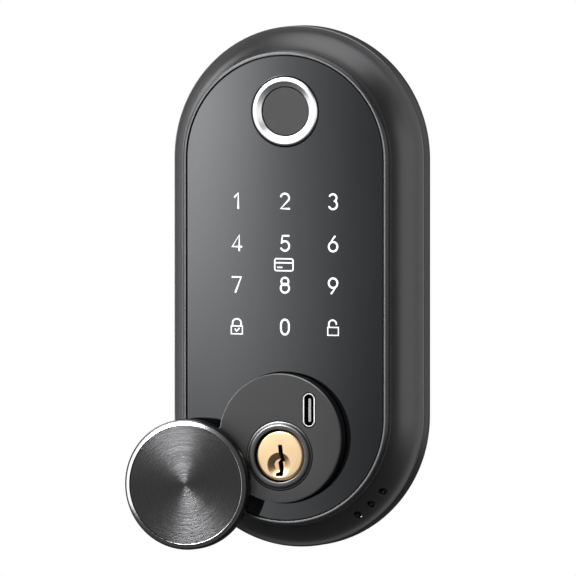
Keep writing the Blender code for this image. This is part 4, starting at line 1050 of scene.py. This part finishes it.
PLATE_STEEL = grained(
    "zinc_plated_sheet", "steel", (0.42, 0.43, 0.44), (0.66, 0.67, 0.68), 0.006, 1.0, 0.34)
DRAWN_STEEL = grained(
    "drawn_steel", "steel", (0.5, 0.5, 0.51), (0.7, 0.7, 0.71), 0.0008, 1.0, 0.3, stretch=(1, 0.05, 1))
WIRE_STEEL = grained(
    "spring_wire", "steel", (0.45, 0.45, 0.46), (0.65, 0.65, 0.66), 0.0006, 1.0, 0.3)
NICKEL = grained(
    "nickel_plating", "nickel", (0.64, 0.62, 0.58), (0.76, 0.74, 0.7), 0.002, 1.0, 0.24, 0.14)
CAST_BRASS = grained(
    "cylinder_brass", "brass", (0.62, 0.4, 0.17), (0.85, 0.6, 0.3), 0.003, 1.0, 0.34)
RUBBER = grained(
    "black_rubber", "rubber", (0.018, 0.018, 0.018), (0.035, 0.035, 0.036), 0.0005, 0.0, 0.75, depth=0.00001)
BLACK_PLASTIC = grained(
    "moulded_black", "black_plastic", (0.02, 0.02, 0.021), (0.04, 0.04, 0.041), 0.0006, 0.0, 0.5,
    depth=0.000008)
WHITE_PLASTIC = grained(
    "moulded_white", "white_plastic", (0.72, 0.72, 0.71), (0.84, 0.84, 0.83), 0.0007, 0.0, 0.45)
COPPER = grained(
    "antenna_foil", "antenna_copper", (0.62, 0.28, 0.14), (0.85, 0.45, 0.26), 0.002, 1.0, 0.32)

BOARD = Finish("green_solder_mask", "circuit_board", Base_Color=(0.02, 0.12, 0.05), Roughness=0.35)
traces = BOARD.node("ShaderNodeTexBrick", inputs={
    "Vector": BOARD.node("ShaderNodeMapping", inputs={0: BOARD.place, "Rotation": (pi / 2, 0, 0)}),
    "Color1": (0.018, 0.11, 0.045), "Color2": (0.03, 0.16, 0.07), "Mortar": (0.05, 0.22, 0.1),
    "Scale": 300.0, "Mortar Size": 0.03,
})
BOARD.set("Base Color", BOARD.mix(BOARD.noise(0.003) * 0.6, traces, (0.02, 0.1, 0.04)))
BOARD.set("Roughness", 0.3 + BOARD.noise(0.0008) * 0.2)

PINS = range(1, 6)
repaint(PLATE_STEEL, "back_plate")
repaint(DRAWN_STEEL, "tailpiece", "plug_clip", "cover_pivot_pin", "pivot_clip")
repaint(WIRE_STEEL, *[f"pin_spring_{i}" for i in PINS])
repaint(NICKEL, "boss_magnet", "cover_magnet", *[f"driver_pin_{i}" for i in PINS])
repaint(CAST_BRASS, "cylinder_body", "chamber_cover", "pivot_bush", *[f"key_pin_{i}" for i in PINS])
repaint(RUBBER, "gasket", "cable_grommet")
repaint(BLACK_PLASTIC, "controller_chip", "speaker", "cover_liner")
repaint(WHITE_PLASTIC, "light_guide", "board_connector")
repaint(BOARD, "touch_board", "main_board", "sensor_board", "usb_board")
repaint(COPPER, "card_antenna")

# %% [markdown]
# ## Screws and posts at the back
# The back shows four countersunk screws with a cross recess and two threaded posts. One of each is turned
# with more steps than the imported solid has, and copied.

# %% Back screws and threaded posts
screw_profile = [
    (0.0, 0.1), (2.45, 0.1), (2.58, 0.14), (2.6, 0.24), (1.3, 1.4), (1.25, 1.5), (1.25, 8.1), (0.9, 8.5),
    (0.0, 8.6),
]
first_screw = turned("back_screw_1", screw_profile, SCREW_X, SCREW_Z, 48)
RECESS_LENGTH = 2.4
RECESS_WIDTH = 0.5
for width, height in ((RECESS_WIDTH, RECESS_LENGTH), (RECESS_LENGTH, RECESS_WIDTH)):
    cut(first_screw, flat_block("recess", rectangle(width, height), -0.8, 0.8, SCREW_X, SCREW_Z))
for number, screw in enumerate(at_each_corner(first_screw, "back_screw"), 1):
    smooth(screw)
    wear(screw, DRAWN_STEEL, "lock_body", [f"housing_screw_{number}"])

POST_X = 18.0 * MM
POST_Z = -40.0 * MM
THREAD_PITCH = 0.9
thread = []
for turn in range(12):
    foot = -11.5 + THREAD_PITCH * turn
    thread += [(2.1, foot), (2.3, foot + THREAD_PITCH / 2)]
post_profile = [
    (0.0, 3.0), (4.9, 3.0), (4.9, 1.8), (3.4, 1.8), (3.4, -11.4), (3.3, -11.7), (2.9, -12.0), (2.4, -12.0),
    *thread, (2.1, 0.0), (0.0, 0.0),
]
right_post = turned("through_post_1", post_profile, POST_X, POST_Z, 48)
left_post = copied(right_post, "through_post_2", (-2 * POST_X, 0, 0))
for number, post in enumerate((right_post, left_post), 1):
    smooth(post)
    wear(post, NICKEL, "lock_body", [f"mounting_post_{number}"])

# %% [markdown]
# ## Camera
# The lock is seen from a little to its right and just above. A long lens keeps its sides parallel.

# %% Place the camera
AZIMUTH = 19.5
ELEVATION = 2.4
LENS = 1200.0
SENSOR_WIDTH = 36.0
FRAME_WIDTH = 0.1636
AIM_SHIFT = 0.00088


def direction(azimuth, elevation):
    """Unit vector for two angles in degrees, measured from straight in front of the lock."""
    turn = radians(azimuth)
    rise = radians(elevation)
    return Vector((sin(turn) * cos(rise), -cos(turn) * cos(rise), sin(rise)))


towards_camera = direction(AZIMUTH, ELEVATION)
aim = Vector((0, -GLASS_FRONT, 0)) + direction(AZIMUTH + 90, 0) * AIM_SHIFT
camera_data = bpy.data.cameras.new("studio_camera")
camera_data.lens = LENS
camera_data.sensor_width = SENSOR_WIDTH
camera_data.clip_start = 0.1
camera_data.clip_end = 30.0
camera = bpy.data.objects.new("studio_camera", camera_data)
link(camera)
camera.location = aim + towards_camera * (FRAME_WIDTH * LENS / SENSOR_WIDTH)
camera.rotation_euler = towards_camera.to_track_quat("Z", "Y").to_euler()
bpy.context.scene.camera = camera
bpy.context.scene.view_settings.view_transform = "Standard"
print("camera distance, m:", round(camera.location.length, 2))

# %% [markdown]
# ## Studio
# Soft boxes stand all round as plain white panels. The flat front faces mirror one small panel on the other
# side of the middle from the camera, which is brighter at its left and upper side and gives the glass its
# gradient. As flags do in a studio, light linking keeps some boxes off the pieces that should stay dark.

# %% Lights
def softbox(name, azimuth, elevation, distance, size, strength, centre=(0, 0, 0)):
    """Rectangular light that faces a centre, placed by its direction as seen from there."""
    data = bpy.data.lights.new(name, "AREA")
    data.shape = "RECTANGLE"
    data.size, data.size_y = size
    data.energy = strength * size[0] * size[1]
    light = bpy.data.objects.new(name, data)
    link(light)
    way = direction(azimuth, elevation)
    light.location = Vector(centre) + way * distance
    light.rotation_euler = way.to_track_quat("Z", "Y").to_euler()
    light.visible_camera = False
    return light


def fade(network, value, start, end, low, high):
    """Go smoothly from one value to another between start and end."""
    inputs = {"Value": value, "From Min": start, "From Max": end, "To Min": low, "To Max": high}
    return network.node("ShaderNodeMapRange", {"interpolation_type": "SMOOTHSTEP"}, inputs)


MIRRORED = (-AZIMUTH, -ELEVATION)
panel = softbox("glass_panel_light", *MIRRORED, 0.5, (0.08, 0.19), 100, aim)
panel.data.color = (0.95, 0.975, 1.0)
panel.data.use_nodes = True
shine = Network(panel.data.node_tree)
where = shine.node("ShaderNodeNewGeometry", output="Parametric")
across = shine.node("ShaderNodeSeparateXYZ", inputs={0: where})
up = Wire(shine, across.socket.node.outputs["Y"])
glow = fade(shine, across, 0.2, 0.92, 0.096, 0.0135) * fade(shine, up, 0.1, 0.5, 0.62, 1.0)
bright_end = fade(shine, across, 0.0, 0.55, 0.15, 0.0) * fade(shine, up, 0.25, 0.85, 0.0, 1.0)
emission = next(node for node in shine.tree.nodes if node.type == "EMISSION")
shine.join(emission.inputs["Strength"], glow + bright_end)
front_box = softbox("front_box", -2, -2, 1.2, (1.1, 0.8), 3.4)
left_box = softbox("left_box", -60, 5, 1.1, (0.8, 1.0), 4.2)
left_back_box = softbox("left_back_box", -105, 15, 1.0, (0.5, 0.9), 12)
cover_box = softbox("cover_box", -37, 34, 1.2, (0.72, 0.7), 42)
overhead_box = softbox("overhead_box", 0, 84, 1.0, (1.0, 2.0), 6.2)
right_front_box = softbox("right_front_box", 72, 5, 1.2, (2.6, 1.0), 3.2)
softbox("right_back_box", 158, 10, 1.0, (0.3, 0.9), 2)
plug_box = softbox("plug_box", *MIRRORED, 0.8, (0.36, 0.36), 3.7)


def flag(light, pieces, state):
    """Let a light shine on these pieces only, or on all but these, as flags in a studio do."""
    group = bpy.data.collections.new(light.name + "_flag")
    for piece in pieces:
        group.objects.link(piece)
    for entry in group.collection_objects:
        entry.light_linking.link_state = state
    light.light_linking.receiver_collection = group


flag(panel, [insert, collar, plug], "EXCLUDE")
flag(front_box, [insert, glass, boss, collar, cup, plug], "EXCLUDE")
flag(right_front_box, [insert, boss, collar, cup, plug], "EXCLUDE")
flag(left_box, [insert], "EXCLUDE")
flag(left_back_box, [insert, cup], "EXCLUDE")
flag(overhead_box, [insert, cup], "EXCLUDE")
flag(cover_box, [insert, cup, ring, bezel, collar, plug], "INCLUDE")
flag(plug_box, [plug], "INCLUDE")

# %% [markdown]
# ## Surroundings
# The camera sees a plain white background, while all other rays meet a dim one, so that the soft boxes alone
# shape the lock. The floor is a pale plane that the polished pieces do not mirror.

# %% World and floor
FLOOR_SIZE = 4
FLOOR_HEIGHT = -0.7
DIM_LIGHT = 0.05
world = bpy.data.worlds.new("studio")
bpy.context.scene.world = world
world.use_nodes = True
sky = Network(world.node_tree)
white = (1.0, 1.0, 1.0)
seen = sky.node("ShaderNodeBackground", inputs={"Color": white, "Strength": 1.0})
dim = sky.node("ShaderNodeBackground", inputs={"Color": white, "Strength": DIM_LIGHT})
camera_ray = sky.node("ShaderNodeLightPath", output="Is Camera Ray")
chosen = sky.node("ShaderNodeMixShader", inputs={0: camera_ray, 1: dim, 2: seen})
sky.join(sky.tree.nodes["World Output"].inputs["Surface"], chosen)

deselect()
bpy.ops.mesh.primitive_plane_add(size=FLOOR_SIZE, location=(0, 0, FLOOR_HEIGHT))
floor = bpy.context.object
floor.name = "studio_floor"
FLOOR = Finish("pale_floor", "white_plastic", Base_Color=(0.85, 0.85, 0.85), Roughness=0.7)
FLOOR.set("Roughness", 0.65 + FLOOR.noise(0.1) * 0.2)
floor.data.materials.append(FLOOR.material)
floor.visible_glossy = False
